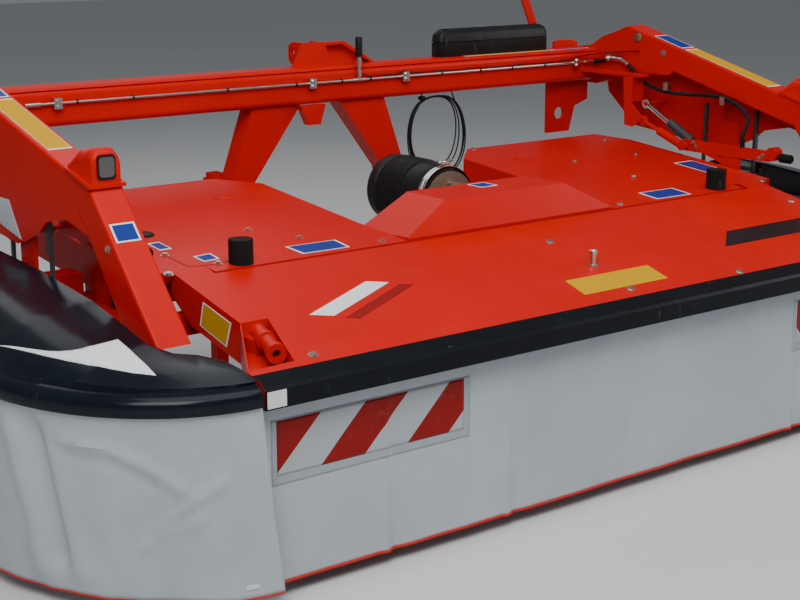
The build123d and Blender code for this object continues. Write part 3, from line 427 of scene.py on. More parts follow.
class Look(Enum):
    """The finishes of the machine."""

    RED = Paint("red_paint", (0.58, 0.0035, 0.002))
    DEEP_RED = Film("deep_red_film", (0.26, 0.008, 0.008), roughness=0.4)
    GUARD = Moulding(
        "guard_plastic", (0.005, 0.007, 0.012), roughness=0.2, grain=900, depth=0.04, sheen=1.3, coat=0.1,
        scuffs=0.04,
    )
    STRIP = Moulding(
        "strip_rubber", (0.004, 0.005, 0.007), roughness=0.4, grain=500, depth=0.12, sheen=1.2, scuffs=0.12,
    )
    BLACK = Moulding("black_plastic", (0.012, 0.012, 0.013), roughness=0.4)
    RUBBER = Moulding("buffer_rubber", (0.009, 0.009, 0.009), roughness=0.7, grain=300, depth=0.4)
    HOSE = Moulding("hose_rubber", (0.012, 0.012, 0.013), roughness=0.55, grain=1200, depth=0.2)
    CANVAS = CoatedCanvas("coated_canvas", (0.44, 0.48, 0.515))
    HEM = Film("hem_red", (0.55, 0.035, 0.025), roughness=0.55)
    WHITE = Film("white_film", (0.8, 0.82, 0.84), roughness=0.4)
    STRIPES = SlantedStripes("warning_stripes")
    BORDER = Film("clear_border", (0.36, 0.39, 0.43), roughness=0.3)
    GREY = Moulding("grey_plastic", (0.36, 0.38, 0.4), roughness=0.45)
    REFLECTOR = Film("reflector", (0.7, 0.7, 0.69), roughness=0.3, cells=0.6)
    YELLOW = Film("yellow_film", (0.6, 0.33, 0.001), roughness=0.6)
    BLUE = Film("blue_film", (0.01, 0.035, 0.24), roughness=0.45)
    ZINC = Metal("zinc_steel", (0.62, 0.6, 0.53), roughness=0.3)
    BRIGHT = Metal("bright_steel", (0.75, 0.75, 0.74), roughness=0.18)
    STEEL = Metal("worn_steel", (0.4, 0.39, 0.37), roughness=0.38, rust=0.35)
    CAST = Metal("dark_casting", (0.06, 0.06, 0.066), roughness=0.5, metallic=0.4, rust=0.12)
    BROWN = Metal("brown_casting", (0.3, 0.2, 0.15), roughness=0.45, metallic=0.7, rust=0.3)
    LENS = Glass("lamp_glass")

    def __init__(self, spec: object) -> None:
        """Keep the finish's description."""
        self.spec = spec

    @property
    def material(self) -> Material:
        """The finish's material, made when it is first asked for."""
        return bpy.data.materials.get(self.spec.name + "_look") or self.make()

    def make(self) -> Material:
        """Build the material."""
        made = self.spec.build()
        made.name = self.spec.name + "_look"
        return made


SLOTS = {
    "red_paint": Look.RED, "black_plastic": Look.BLACK, "guard_plastic": Look.GUARD, "canvas": Look.CANVAS,
    "strip_rubber": Look.STRIP, "rubber": Look.RUBBER, "dark_steel": Look.CAST, "worn_steel": Look.STEEL,
    "zinc_steel": Look.ZINC, "box_plastic": Look.BLACK, "lamp_glass": Look.LENS,
}
SPECIAL = {"arm_hoses": Look.HOSE, "buffers": Look.RUBBER, "gearbox": Look.BROWN, "lift_rods": Look.BRIGHT}


def placed(name: str, data: bpy.types.ID) -> Piece:
    """Put a mesh, curve, light or camera into the scene as an object."""
    piece = bpy.data.objects.new(name, data)
    bpy.context.scene.collection.objects.link(piece)
    return piece


def solid(
    name: str, points: Sequence[Vector], faces: Sequence[Sequence[int]], look: Look, smooth: bool = False,
) -> Piece:
    """Make a mesh piece.

    Args:
        name: The piece's name.
        points: Its corners in the machine's frame.
        faces: Its faces.
        look: Its finish.
        smooth: Whether it is shaded smooth, apart from sharp edges.

    Returns:
        The new object.
    """
    mesh = bpy.data.meshes.new(name)
    mesh.from_pydata([tuple(point) for point in points], [], [tuple(face) for face in faces])
    work = bmesh.new()
    work.from_mesh(mesh)
    bmesh.ops.remove_doubles(work, verts=work.verts, dist=1e-6)
    bmesh.ops.recalc_face_normals(work, faces=work.faces)
    if smooth:
        for face in work.faces:
            face.smooth = True
        for edge in work.edges:
            if len(edge.link_faces) == 2 and edge.calc_face_angle(0) > SHARP_EDGE:
                edge.smooth = False
    work.to_mesh(mesh)
    work.free()
    mesh.materials.append(look.material)
    return placed(name, mesh)


def lattice(rows: Sequence[Sequence[Vector]], ring: bool = False) -> Shape:
    """Join rows of points to a surface.

    Args:
        rows: Rows with equally many points.
        ring: Whether each row closes on itself.

    Returns:
        The points and the faces.
    """
    wide = len(rows[0])
    points = [point for row in rows for point in row]
    faces = []
    for line in range(len(rows) - 1):
        low, high = line * wide, (line + 1) * wide
        for step in range(wide if ring else wide - 1):
            after = (step + 1) % wide
            faces.append((low + step, low + after, high + after, high + step))
    return points, faces


def tube(rows: Sequence[Sequence[Vector]]) -> Shape:
    """Join closed rows of points to a body with flat ends.

    Args:
        rows: Rows with equally many points.

    Returns:
        The points and the faces.
    """
    points, faces = lattice(rows, True)
    count = len(rows[0])
    return points, faces + [tuple(range(count)), tuple(range(len(points) - count, len(points)))[::-1]]


def prism(name: str, low: Sequence[Vector], high: Sequence[Vector], look: Look) -> Piece:
    """Make a body with straight sides between two outlines.

    Args:
        name: The piece's name.
        low: The outline at one end.
        high: The outline at the other end.
        look: Its finish.

    Returns:
        The piece.
    """
    count = len(low)
    faces = [tuple(range(count))[::-1], tuple(range(count, 2 * count))]
    faces += [(i, (i + 1) % count, count + (i + 1) % count, count + i) for i in range(count)]
    return solid(name, [*low, *high], faces, look)


def baked(piece: Piece) -> Piece:
    """Turn a piece with modifiers or a curve into a plain mesh piece.

    Args:
        piece: The object to bake; it is removed.

    Returns:
        The plain piece, under the same name.
    """
    name = piece.name
    bpy.context.view_layer.update()
    seen = piece.evaluated_get(bpy.context.evaluated_depsgraph_get())
    plain = placed(name + "_mesh", bpy.data.meshes.new_from_object(seen))
    bpy.data.objects.remove(piece)
    plain.name = name
    return plain


def thicken(piece: Piece, depth: float, side: float = 1.0) -> Piece:
    """Give a sheet its wall.

    Args:
        piece: The sheet.
        depth: The wall in millimetres.
        side: The side of the sheet that the wall lies on, with 0 for both.

    Returns:
        The finished piece.
    """
    wall = piece.modifiers.new("wall", "SOLIDIFY")
    wall.thickness = depth * MM
    wall.offset = side
    return baked(piece)


def slab(name: str, corners: Sequence[Vector], depth: float, look: Look, lift: float = 0.0) -> Piece:
    """Make a thin flat plate on a surface.

    Args:
        name: The piece's name.
        corners: Its outline on the surface.
        depth: Its thickness in millimetres, outwards.
        look: Its finish.
        lift: How far it starts off the surface in millimetres.

    Returns:
        The piece.
    """
    out = Vector((0, 0, 0))
    for index, corner in enumerate(corners):
        out += (corner - corners[0]).cross(corners[(index + 1) % len(corners)] - corners[0])
    out.normalize()
    low = [corner + out * lift * MM for corner in corners]
    high = [corner + out * (lift + depth) * MM for corner in corners]
    return prism(name, low, high, look)


def strand(
    name: str, route: Sequence[Vector], radius: float, look: Look, straight: bool = False, around: int = 4,
    along: int = 10,
) -> Piece:
    """Lay a round curve with closed ends along a route.

    Args:
        name: The piece's name.
        route: The points that it follows.
        radius: Its radius in millimetres.
        look: Its finish.
        straight: Whether it goes straight from point to point.
        around: How finely it is divided round its axis.
        along: How finely it is divided from point to point.

    Returns:
        The live curve.
    """
    curve = bpy.data.curves.new(name, "CURVE")
    curve.dimensions = "3D"
    curve.bevel_depth = radius * MM
    curve.bevel_resolution = around
    curve.resolution_u = along
    curve.use_fill_caps = True
    line = curve.splines.new("POLY" if straight else "NURBS")
    line.points.add(len(route) - 1)
    for spot, point in zip(line.points, route):
        spot.co = (*point, 1)
    if not straight:
        line.order_u = 3
        line.use_endpoint_u = True
    curve.materials.append(look.material)
    return placed(name, curve)


def pipe(name: str, route: Sequence[Vector], radius: float, look: Look, straight: bool = False) -> Piece:
    """Make a round pipe or rod along a route.

    Args:
        name: The piece's name.
        route: The points that it follows.
        radius: Its radius in millimetres.
        look: Its finish.
        straight: Whether it goes straight from point to point.

    Returns:
        The piece, as a closed mesh.
    """
    piece = baked(strand(name, route, radius, look, straight))
    for face in piece.data.polygons:
        face.use_smooth = len(face.vertices) == 4
    return piece


def strung(name: str, route: Sequence[Vector], diameter: float) -> tuple[Piece, float]:
    """Lay a cable along smooth points and measure it.

    Args:
        name: The piece's name.
        route: Its control points, from one end to the other.
        diameter: Its thickness in millimetres.

    Returns:
        The cable, as a live curve, and its length in metres.
    """
    piece = strand(name, route, diameter / 2, Look.HOSE, around=3, along=6)
    bare = placed("probe", piece.data.copy())
    bare.data.bevel_depth = 0
    bpy.context.view_layer.update()
    mesh = bpy.data.meshes.new_from_object(bare.evaluated_get(bpy.context.evaluated_depsgraph_get()))
    length = sum((mesh.vertices[a].co - mesh.vertices[b].co).length for a, b in mesh.edge_keys)
    bpy.data.objects.remove(bare)
    return piece, length


def turned(
    name: str, start: Vector, axis: Vector, outline: Sequence[Pair], look: Look, steps: int = 32,
) -> Piece:
    """Turn an outline round an axis.

    Args:
        name: The piece's name.
        start: The axis's first point.
        axis: Its direction.
        outline: Pairs of distance along the axis and radius, in millimetres, from pole to pole.
        look: The finish.
        steps: Divisions round the axis.

    Returns:
        The piece.
    """
    along = axis.normalized()
    first = along.orthogonal().normalized()
    second = along.cross(first)
    rows = []
    for place, radius in outline:
        middle = start + along * place * MM
        rows.append([
            middle + (first * math.cos(a) + second * math.sin(a)) * radius * MM
            for a in (math.tau * step / steps for step in range(steps))
        ])
    points, faces = lattice(rows, True)
    for row, flip in ((0, True), (len(rows) - 1, False)):
        if outline[row][1] > 0:
            cap = tuple(range(row * steps, (row + 1) * steps))
            faces.append(cap[::-1] if flip else cap)
    return solid(name, points, faces, look, True)


def ring(inner: float, outer: float, length: float) -> list[Pair]:
    """The outline of a plain ring, for turning."""
    return [(0, inner), (0, outer), (length, outer), (length, inner), (0, inner)]


def rounded(half_wide: float, half_tall: float, radius: float, steps: int) -> list[Pair]:
    """The outline of a rectangle with round corners.

    Args:
        half_wide: Half its width.
        half_tall: Half its height.
        radius: The radius of its corners.
        steps: How many points each corner has.

    Returns:
        Its points about its middle, anticlockwise.
    """
    outline = []
    for quarter, (right, up) in enumerate(((1, 1), (-1, 1), (-1, -1), (1, -1))):
        for turn in spread(0, 90, steps):
            angle = math.radians(quarter * 90 + turn)
            x = right * (half_wide - radius) + radius * math.cos(angle)
            outline.append((x, up * (half_tall - radius) + radius * math.sin(angle)))
    return outline


def draped(name: str, outline: Sequence[Pair], onto: Piece, look: Look) -> Piece:
    """Lay a thin film on a curved piece, from above.

    Args:
        name: The film's name.
        outline: Its outline in plan, anticlockwise.
        onto: The piece that it lies on.
        look: Its finish.

    Returns:
        The film.
    """
    above, cell, gap = 2000, 14, 0.3
    work = bmesh.new()
    work.faces.new([work.verts.new(at(x, y, above)) for x, y in outline])
    for axis in (0, 1):
        values = [point[axis] for point in outline]
        facing = Vector((1 - axis, axis, 0))
        for place in range(int(min(values)), int(max(values)), cell):
            parts = work.verts[:] + work.edges[:] + work.faces[:]
            bmesh.ops.bisect_plane(work, geom=parts, plane_co=at(place, place, 0), plane_no=facing)
    corners = [vert.co for vert in onto.data.vertices]
    form = BVHTree.FromPolygons(corners, [tuple(face.vertices) for face in onto.data.polygons])
    for vert in work.verts:
        hit = form.ray_cast(vert.co, -UP)
        vert.co = hit[0] + hit[1] * gap * MM if hit[0] else form.find_nearest(vert.co)[0]
    work.verts.index_update()
    points = [vert.co.copy() for vert in work.verts]
    faces = [tuple(vert.index for vert in face.verts) for face in work.faces]
    work.free()
    return thicken(solid(name, points, faces, look, True), FILM_DEPTH)


def joined(name: str, pieces: Sequence[Piece]) -> Piece:
    """Join mesh pieces to one.

    Args:
        name: The name of the whole.
        pieces: The pieces; they are removed.

    Returns:
        The whole.
    """
    work = bmesh.new()
    slots: list[Material] = []
    for piece in pieces:
        mesh = piece.data
        slots += [material for material in mesh.materials if material not in slots]
        start = len(work.faces)
        work.from_mesh(mesh)
        work.faces.ensure_lookup_table()
        for face in work.faces[start:]:
            face.material_index = slots.index(mesh.materials[face.material_index])
    whole = bpy.data.meshes.new(name)
    work.to_mesh(whole)
    work.free()
    for material in slots:
        whole.materials.append(material)
    for piece in pieces:
        bpy.data.objects.remove(piece)
    return placed(name, whole)


def keep(piece: Piece, body: str, slot: str, *nodes: str) -> Piece:
    """Let a piece ride with a body and report it.

    Args:
        piece: The finished piece.
        body: The body that carries it.
        slot: The record's material slot that it belongs to; it is not used.
        nodes: The nodes that it stands for.

    Returns:
        The piece.
    """
    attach(piece, body)
    if nodes:
        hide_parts(*nodes)
    faces = len(piece.data.polygons) if piece.type == "MESH" else 0
    LOG.info("%s on %s, %d faces", piece.name, body, faces)
    return piece


FILM_DEPTH = 0.8
FILM_LIFT = 0.15


def patch(
    name: str, corners: Sequence[Point], look: Look, body: str = "carrier", slot: str = "red_paint",
) -> None:
    """Stick a blank label on.

    Args:
        name: The piece's name.
        corners: Its corners in millimetres, anticlockwise as seen.
        look: Its finish.
        body: The body that carries it.
        slot: The record's material slot.
    """
    keep(slab(name, [at(*corner) for corner in corners], FILM_DEPTH, look, FILM_LIFT), body, slot)


def label(name: str, corners: Sequence[Point], look: Look, rim: float = 6.0, body: str = "carrier") -> None:
    """Stick a blank label with a white rim on painted steel.

    Args:
        name: The piece's name.
        corners: Its corners in millimetres, anticlockwise as seen.
        look: The finish inside the rim.
        rim: The rim's width.
        body: The body that carries it.
    """
    outer = [at(*corner) for corner in corners]
    middle = sum(outer, Vector()) / len(outer)
    inner = []
    for corner in outer:
        reach = corner - middle
        inner.append(middle + reach * max(1 - rim * 1.4 * MM / reach.length, 0.3))
    base = slab(name, outer, FILM_DEPTH, Look.WHITE, FILM_LIFT)
    face = slab(name + "_face", inner, FILM_DEPTH / 2, look, FILM_DEPTH)
    keep(joined(name, [base, face]), body, "red_paint")


def spread(start: float, end: float, count: int) -> list[float]:
    """Evenly spaced numbers, both ends included."""
    return [start + (end - start) * index / (count - 1) for index in range(count)]


def ripple(x: float, y: float, scale: float) -> float:
    """Smooth noise from -1 to 1 at a place in millimetres, with waves of about the given size."""
    return noise.noise(Vector((x / scale, y / scale, 0.37)))


@dataclass
class Studio:
    """Camera, lights and floor."""

    eye: Point = (-3.337, -4.015, 1.707)
    heading: float = 37.73
    pitch: float = 13.96
    lens: float = 70.02
    floor_half: float = 25.0

    def build(self) -> None:
        """Place the camera, the lights and the floor."""
        data = bpy.data.cameras.new("camera")
        data.lens = self.lens
        data.clip_end = 60
        camera = placed("camera", data)
        camera.location = self.eye
        camera.rotation_euler = (math.radians(90 - self.pitch), 0, math.radians(-self.heading))
        bpy.context.scene.camera = camera
        self.light("key", (-3.4, -3.2, 4.6), (0, -0.2, 0.5), 3.0, 200)
        self.light("top", (-0.7, -2.2, 5.7), (0.1, 0.1, 0.5), 5.0, 195)
        self.light("side", (4.6, -2.4, 2.6), (0, 0, 0.6), 2.4, 80)
        self.light("back", (0.5, 4.4, 4.6), (0, 0, 0.8), 4.0, 50)
        world = bpy.data.worlds.new("air")
        world.use_nodes = True
        world.node_tree.nodes["Background"].inputs[0].default_value = (0.86, 0.9, 0.95, 1)
        world.node_tree.nodes["Background"].inputs[1].default_value = 0.2
        bpy.context.scene.world = world
        self.floor()

    def light(self, name: str, place: Point, target: Point, size: float, power: float) -> None:
        """Add a soft light.

        Args:
            name: Its name.
            place: Where it hangs.
            target: Where it points.
            size: Its width in metres.
            power: Its power in watts.
        """
        data = bpy.data.lights.new(name, "AREA")
        data.size = size
        data.energy = power
        lamp = placed(name, data)
        lamp.location = place
        lamp.rotation_euler = (Vector(target) - Vector(place)).to_track_quat("-Z", "Y").to_euler()

    def floor(self) -> None:
        """Lay the pale floor."""
        half = self.floor_half
        mesh = bpy.data.meshes.new("floor")
        corners = [(-half, -half, 0), (half, -half, 0), (half, half, 0), (-half, half, 0)]
        mesh.from_pydata(corners, [], [(0, 1, 2, 3)])
        maker = ShaderMaker("floor_paint")
        base = maker.mix(maker.grain(0.6), (0.6, 0.61, 0.62, 1), (0.66, 0.67, 0.68, 1))
        mesh.materials.append(maker.finish(Base_Color=base, Roughness=0.7))
        placed("floor", mesh)


@dataclass
class SensorCable:
    """The thin cable that comes from the right arm and lies on the crossbeam's pipe as far as the riser."""

    diameter: float = 4.5
    line_y: float = 1431
    rest: float = 1104.3
    wobble: float = 1.6
    start: tuple[Point, ...] = (
        (1426, 1192, 1152), (1416, 1196, 1152), (1406, 1250, 1148), (1400, 1330, 1140), (1385, 1396, 1132),
        (1345, 1422, 1126), (1290, 1428, 1119), (1250, 1430, 1110),
    )
    clamp: tuple[Point, ...] = (
        (425, 1431, 1105), (404, 1431, 1112), (379, 1431, 1117), (354, 1431, 1112), (333, 1431, 1105),
    )
    end: tuple[Point, ...] = ((205, 1431, 1105), (185, 1431, 1112), (168, 1432, 1124), (160, 1432, 1134))

    def lying(self, places: range) -> list[Point]:
        """Points along the pipe, where the cable lies a little uneven."""
        return [(x, self.line_y, self.rest + self.wobble * (1 + math.sin(x / 37))) for x in places]

    def build(self) -> None:
        """Lay the cable on the pipe."""
        before, after = self.lying(range(1210, 440, -36)), self.lying(range(300, 230, -34))
        route = [at(*point) for point in (*self.start, *before, *self.clamp, *after, *self.end)]
        piece, length = strung("sensor_cable", route, self.diameter)
        keep(piece, "carrier", "rubber")
        LOG.info("sensor cable, %.2f m", length)


@dataclass
class CableHank:
    """The stowed cable: loose turns that hang from the crossbeam, tied at the top."""

    middle: Point = (574, 1477, 846)
    half_length: float = 158
    half_width: float = 138
    lean: float = 0.06
    turns: int = 6
    steps: int = 16
    left_out: int = 3
    growth: tuple[float, ...] = (0.0, 9.0, -17.0, 5.0, -26.0, 12.0)
    phase: float = 0.5
    pitch: float = 3.6
    diameter: float = 5.5
    lead_in: tuple[Point, ...] = ((500, 1477, 1016), (500, 1477, 1008))
    lead_out: tuple[Point, ...] = ((684, 1488, 966), (666, 1488, 997), (660, 1488, 1016))

    def route(self) -> list[Vector]:
        """Work out the turns.

        Returns:
            The cable's control points, from one end to the other.
        """
        down = Vector((self.lean, 0, -1)).normalized()
        across = Vector((down.z, 0, -down.x))
        points = list(self.lead_in)
        for index in range(self.turns * self.steps - self.left_out):
            turn = index / self.steps
            angle = math.tau * turn + self.phase
            grow = self.growth[int(turn) % len(self.growth)]
            fan = 0.5 - 0.5 * math.cos(angle - self.phase)
            long = self.half_length + grow * fan * 1.3
            wide = self.half_width + grow * (1.0 if math.sin(angle) > 0 else 1.5) * fan
            sway = math.copysign(abs(math.sin(angle)) ** 0.7, math.sin(angle))
            depth = (turn - self.turns / 2) * self.pitch + 2.5 * fan * math.sin(7 * turn)
            spot = Vector(self.middle) + BACK * depth
            points.append(spot - down * (long * math.cos(angle)) + across * (wide * sway))
        return [at(*point) for point in (*points, *self.lead_out)]

    def build(self) -> None:
        """Wind the cable and tie it."""
        route = self.route()
        piece, length = strung("stowed_cable", route, self.diameter)
        keep(piece, "carrier", "rubber", "cable_hank")
        LOG.info("stowed cable, %.2f m", length)
        band = [(0, 13), (1, 15), (13, 15), (14, 13), (14, 11), (0, 11), (0, 13)]
        tie = turned("cable_ties", at(500, 1477, 991), Vector((0.03, 0, 1)), band, Look.BLACK, 20)
        keep(tie, "carrier", "rubber")


@dataclass
class FrontCanvas:
    """The coated canvas under the strip, with its hem and stripe panels.

    Each film has its name, its edges on one side, its band of height, its lift and its finish.
    """

    top_half: float = 1380.0
    low_half: float = 1320.0
    top: float = 560.0
    strip_z: float = 529.0
    bottom: float = 40.0
    face_y: float = -231.0
    seams: tuple[float, ...] = (-978.0, -547.0, 700.0)
    fold_height: float = 10.0
    fold_width: float = 14.0
    dip_depth: float = 6.0
    dip_width: float = 26.0
    films: tuple = (
        ("border", (691.0, 1340.0), (307.0, 482.0), 1.6, Look.BORDER),
        ("panel", (713.0, 1323.0), (333.0, 477.0), 2.4, Look.STRIPES),
    )

    def half(self, z: float) -> float:
        """Half the canvas's width at a height."""
        share = (z - self.bottom) / (self.strip_z - self.bottom)
        return self.low_half + (self.top_half - self.low_half) * share

    def face(self, x: float, z: float) -> float:
        """Depth of the canvas's front face at a place.

        Args:
            x: The place across the machine.
            z: Its height.

        Returns:
            The depth, with folds at the seams, ripples that grow downwards and a curled foot.
        """
        hang = min(max((self.strip_z - z) / (self.strip_z - self.bottom), 0.0), 1.0)
        wave = 3.2 * ripple(x, z * 0.25, 210) + 1.6 * ripple(x + 900, z * 0.6, 90)
        pull = 0.0
        for seam in self.seams:
            gap = x - seam
            pull += self.fold_height * math.exp(-(gap / self.fold_width) ** 2)
            pull -= self.dip_depth * math.exp(-(gap / self.dip_width - 1) ** 2)
        curl = 3.0 * hang ** 6 * (0.6 + ripple(x, 0, 160))
        return self.face_y - (wave * (0.25 + 0.75 * hang) + pull * (0.05 + 0.95 * hang)) - curl

    def layer(
        self, name: str, across: Pair, band: Pair, lift: float, wall: float, look: Look, cell: float = 12.0,
    ) -> Piece:
        """One layer of the canvas, which follows its folds.

        Args:
            name: The piece's name.
            across: Its left and right edge; a layer of full width narrows downwards.
            band: Its lowest and highest height.
            lift: How far it lies off the canvas.
            wall: Its thickness.
            look: Its finish.
            cell: Size of its faces.

        Returns:
            The finished layer.
        """
        left, right = sorted(across)
        wide = int((right - left) / cell)
        tall = max(int((band[1] - band[0]) / cell), 2)
        rows = []
        for z in spread(*band, tall + 1):
            scale = self.half(z) / self.top_half if right - left > self.top_half else 1.0
            places = [x * scale for x in spread(left, right, wide + 1)]
            rows.append([at(x, self.face(x, z) - lift, z) for x in places])
        return thicken(solid(name, *lattice(rows), look, True), wall)

    def build(self) -> None:
        """Make the canvas, its hem and its stripe panels."""
        full = (-self.top_half, self.top_half)
        cloth = self.layer("front_canvas_cloth", full, (self.bottom, self.top), 0, 2.5, Look.CANVAS)
        keep(cloth, "front_cover", "canvas", "front_canvas")
        foot = (self.bottom - 1, self.bottom + 7)
        hem = self.layer("front_canvas_hem", full, foot, 0.6, 4.2, Look.HEM, 9)
        pieces = [keep(hem, "front_cover", "canvas")]
        for side, name in SIDES:
            for part, across, band, lift, look in self.films:
                edges = (side * across[0], side * across[1])
                film = self.layer(f"stripe_{part}_{name}", edges, band, lift, 1.2, look, 7)
                pieces.append(keep(film, "front_cover", "canvas"))


@dataclass
class SideGuard:
    """One side guard: the moulded shell and the canvas inside its rim.

    Each row has the angle of its rim point, or None along the straight rear, and the inner edge's x, y, z.
    Each crease is a line of points, as way along and down from the rim, with its height and width.
    """

    side: int
    start: float = 1398.0
    rim_a: float = 492.0
    rim_b: float = 594.0
    centre_y: float = 300.0
    rim_top: float = 581.0
    rim_low: float = 543.0
    canvas_top: float = 569.0
    canvas_foot: float = 40.0
    free_corner: Point = (1335.0, -282.0, 40.0)
    shell_steps: int = 92
    canvas_steps: int = 132
    down_steps: int = 40
    tag_spots: tuple[tuple[int, int], ...] = ((8, 37), (6, 37), (6, 36), (8, 36))
    rows: tuple = (
        (0, 1398, -105, 622), (18, 1440, -56, 632), (36, 1500, -46, 644), (54, 1545, 8, 664),
        (72, 1545, 150, 693), (90, 1545, 300, 719), (None, 1545, 600, 745), (None, 1545, 1000, 760),
    )
    hung: tuple[float, ...] = (10, 30, 55, 75, 80, 80, 80, 75, 66, 48, 34)
    badge: tuple[Pair, ...] = (
        (1811, 296), (1794, 246), (1779, 200), (1766, 165), (1752, 132), (1735, 105), (1714, 84),
        (1692, 70), (1664, 64), (1630, 62), (1597, 62), (1599, -47), (1602, -139), (1644, -100),
        (1679, -55), (1712, -4), (1741, 57), (1768, 127), (1791, 207), (1812, 294),
    )
    creases: tuple = (
        (((622, 60), (612, 132), (602, 238), (592, 317), (592, 430)), -26.0, 30.0),
        (((695, 90), (677, 230), (660, 340), (645, 470)), 12.0, 36.0),
        (((550, 150), (545, 300), (530, 470)), 9.0, 32.0),
        (((516, 100), (395, 112), (296, 160), (205, 222)), 10.0, 16.0),
        (((500, 135), (390, 150), (290, 200)), -6.0, 18.0),
        (((290, 330), (200, 262), (100, 205)), 7.0, 15.0),
        (((330, 380), (240, 330), (160, 300)), 5.0, 16.0),
        (((880, 60), (860, 220), (900, 420)), -9.0, 34.0),
        (((1120, 90), (1150, 260), (1120, 430)), 8.0, 40.0),
        (((1380, 80), (1350, 250), (1390, 430)), -8.0, 36.0),
    )

    @property
    def name(self) -> str:
        """Which side it is."""
        return dict(SIDES)[self.side]

    def put(self, x: float, y: float, z: float) -> Vector:
        """A point on this side of the machine."""
        return at(self.side * x, y, z)

    def rim(self, angle: float) -> Pair:
        """A point of the rim's plan."""
        turn = math.radians(angle)
        return self.start + self.rim_a * math.sin(turn), self.centre_y - self.rim_b * math.cos(turn)

    def station(self, place: float) -> tuple[Point, Pair, Vector]:
        """Find the shell's edges at a place.

        Args:
            place: The place, from 0 to the last row's number.

        Returns:
            The inner edge's point, the rim's point in plan, and the way from one to the other.
        """
        index = min(int(place), len(self.rows) - 2)
        part = place - index
        low, high = self.rows[index], self.rows[index + 1]
        x, y, z = (low[i] + (high[i] - low[i]) * part for i in (1, 2, 3))
        if high[0] is None:
            rim = (self.start + self.rim_a, y)
        else:
            rim = self.rim(low[0] + (high[0] - low[0]) * part)
        return (x, y, z), rim, Vector((rim[0] - x, rim[1] - y, 0))

    def section(self, high: float, length: float) -> list[Pair]:
        """The closed section of the shell, with a rounded shoulder and rim.

        Args:
            high: Height of its inner edge.
            length: Its length from the inner edge to the rim.

        Returns:
            Pairs of way outwards and height.
        """
        top, low = self.rim_top, self.rim_low
        shoulder = top + 14
        middle = high - 0.22 * (high - shoulder)
        crown = [(0.0, high - 3), (2.5, high - 0.5), (9.0, high)]
        for part in (0.15, 0.3, 0.45, 0.6, 0.72, 0.84):
            if part < 0.5:
                z = high + (middle - high) * part / 0.5
            else:
                z = middle + (shoulder - middle) * (part - 0.5) / 0.5
            crown.append((part * length, z + 2.0 * math.sin(math.pi * part)))
        return crown + [
            (length - 34, shoulder + 2.4), (length - 24, shoulder - 0.5), (length - 14, top + 8),
            (length - 6, top + 2), (length - 1.6, top - 4), (length, top - 10), (length, low + 3),
            (length - 1.5, low), (length - 6.5, low), (length - 8, low + 3), (length - 8, top - 10),
            (length - 36, shoulder - 8), (0.5 * length, middle - 6), (0, high - 6),
        ]

    def shell(self) -> Piece:
        """Make the moulded shell with its two hinge ears.

        Returns:
            The shell.
        """
        rows = []
        for place in spread(0, len(self.rows) - 1, self.shell_steps):
            edge, _, way = self.station(place)
            out = way.normalized()
            rows.append([
                self.put(edge[0] + out.x * run, edge[1] + out.y * run, z)
                for run, z in self.section(edge[2], way.length)
            ])
        name = "guard_shell_" + self.name
        shell = solid(name, *tube(rows), Look.GUARD, True)
        return joined(name, [shell, *self.ear(642.0), *self.ear(845.0)])

    def ear(self, y: float) -> list[Piece]:
        """One hinge ear: the eye round the hinge rod, and the block that joins it to the shell.

        Args:
            y: Depth of the eye's front.

        Returns:
            The two pieces.
        """
        bore = [(0, 8.3), (0, 14), (2, 16), (26, 16), (28, 14), (28, 8.3), (0, 8.3)]
        eye = turned("ear", self.put(1560, y, 710), BACK, bore, Look.GUARD, 28)
        plan = [(1551, y + 2), (1569, y + 2), (1569, y + 26), (1551, y + 26)]
        low, high = ([self.put(*spot, z) for spot in plan] for z in (724, 741 + (y - 600) * 0.0375))
        return [eye, prism("ear", low, high, Look.GUARD)]

    def canvas_rows(self) -> list[tuple[Vector, Vector, Vector]]:
        """Work out the canvas's lines, at fine steps along the rim.

        Returns:
            Each line's top and foot, and the way outwards.
        """
        lines = []
        last = len(self.hung) - 1
        for place in spread(0, len(self.rows) - 1, self.canvas_steps):
            _, rim, way = self.station(place)
            way.normalize()
            step = min(place * 2, float(last))
            low = int(step)
            hung = self.hung[low] + (self.hung[min(low + 1, last)] - self.hung[low]) * (step - low)
            top = Vector((rim[0] - way.x * 9.5, rim[1] - way.y * 9.5, self.canvas_top))
            foot = Vector((rim[0] - way.x * hung, rim[1] - way.y * hung, self.canvas_foot))
            if place < 0.5:
                foot = Vector(self.free_corner).lerp(foot, place / 0.5)
            lines.append((top, foot, way))
        return lines

    def crease(self, run: float, down: float) -> float:
        """How far the creases push the canvas outwards at a place, in millimetres.

        Args:
            run: Way along the rim.
            down: Way down from the rim.

        Returns:
            The push.
        """
        spot = Vector((run, down))
        push = 0.0
        for line, height, width in self.creases:
            gap = math.inf
            for start, end in zip(line, line[1:]):
                first, way = Vector(start), Vector(end) - Vector(start)
                part = min(max((spot - first).dot(way) / way.length_squared, 0.0), 1.0)
                gap = min(gap, (spot - first - way * part).length)
            push += height * math.exp(-(gap / width) ** 2)
        return push

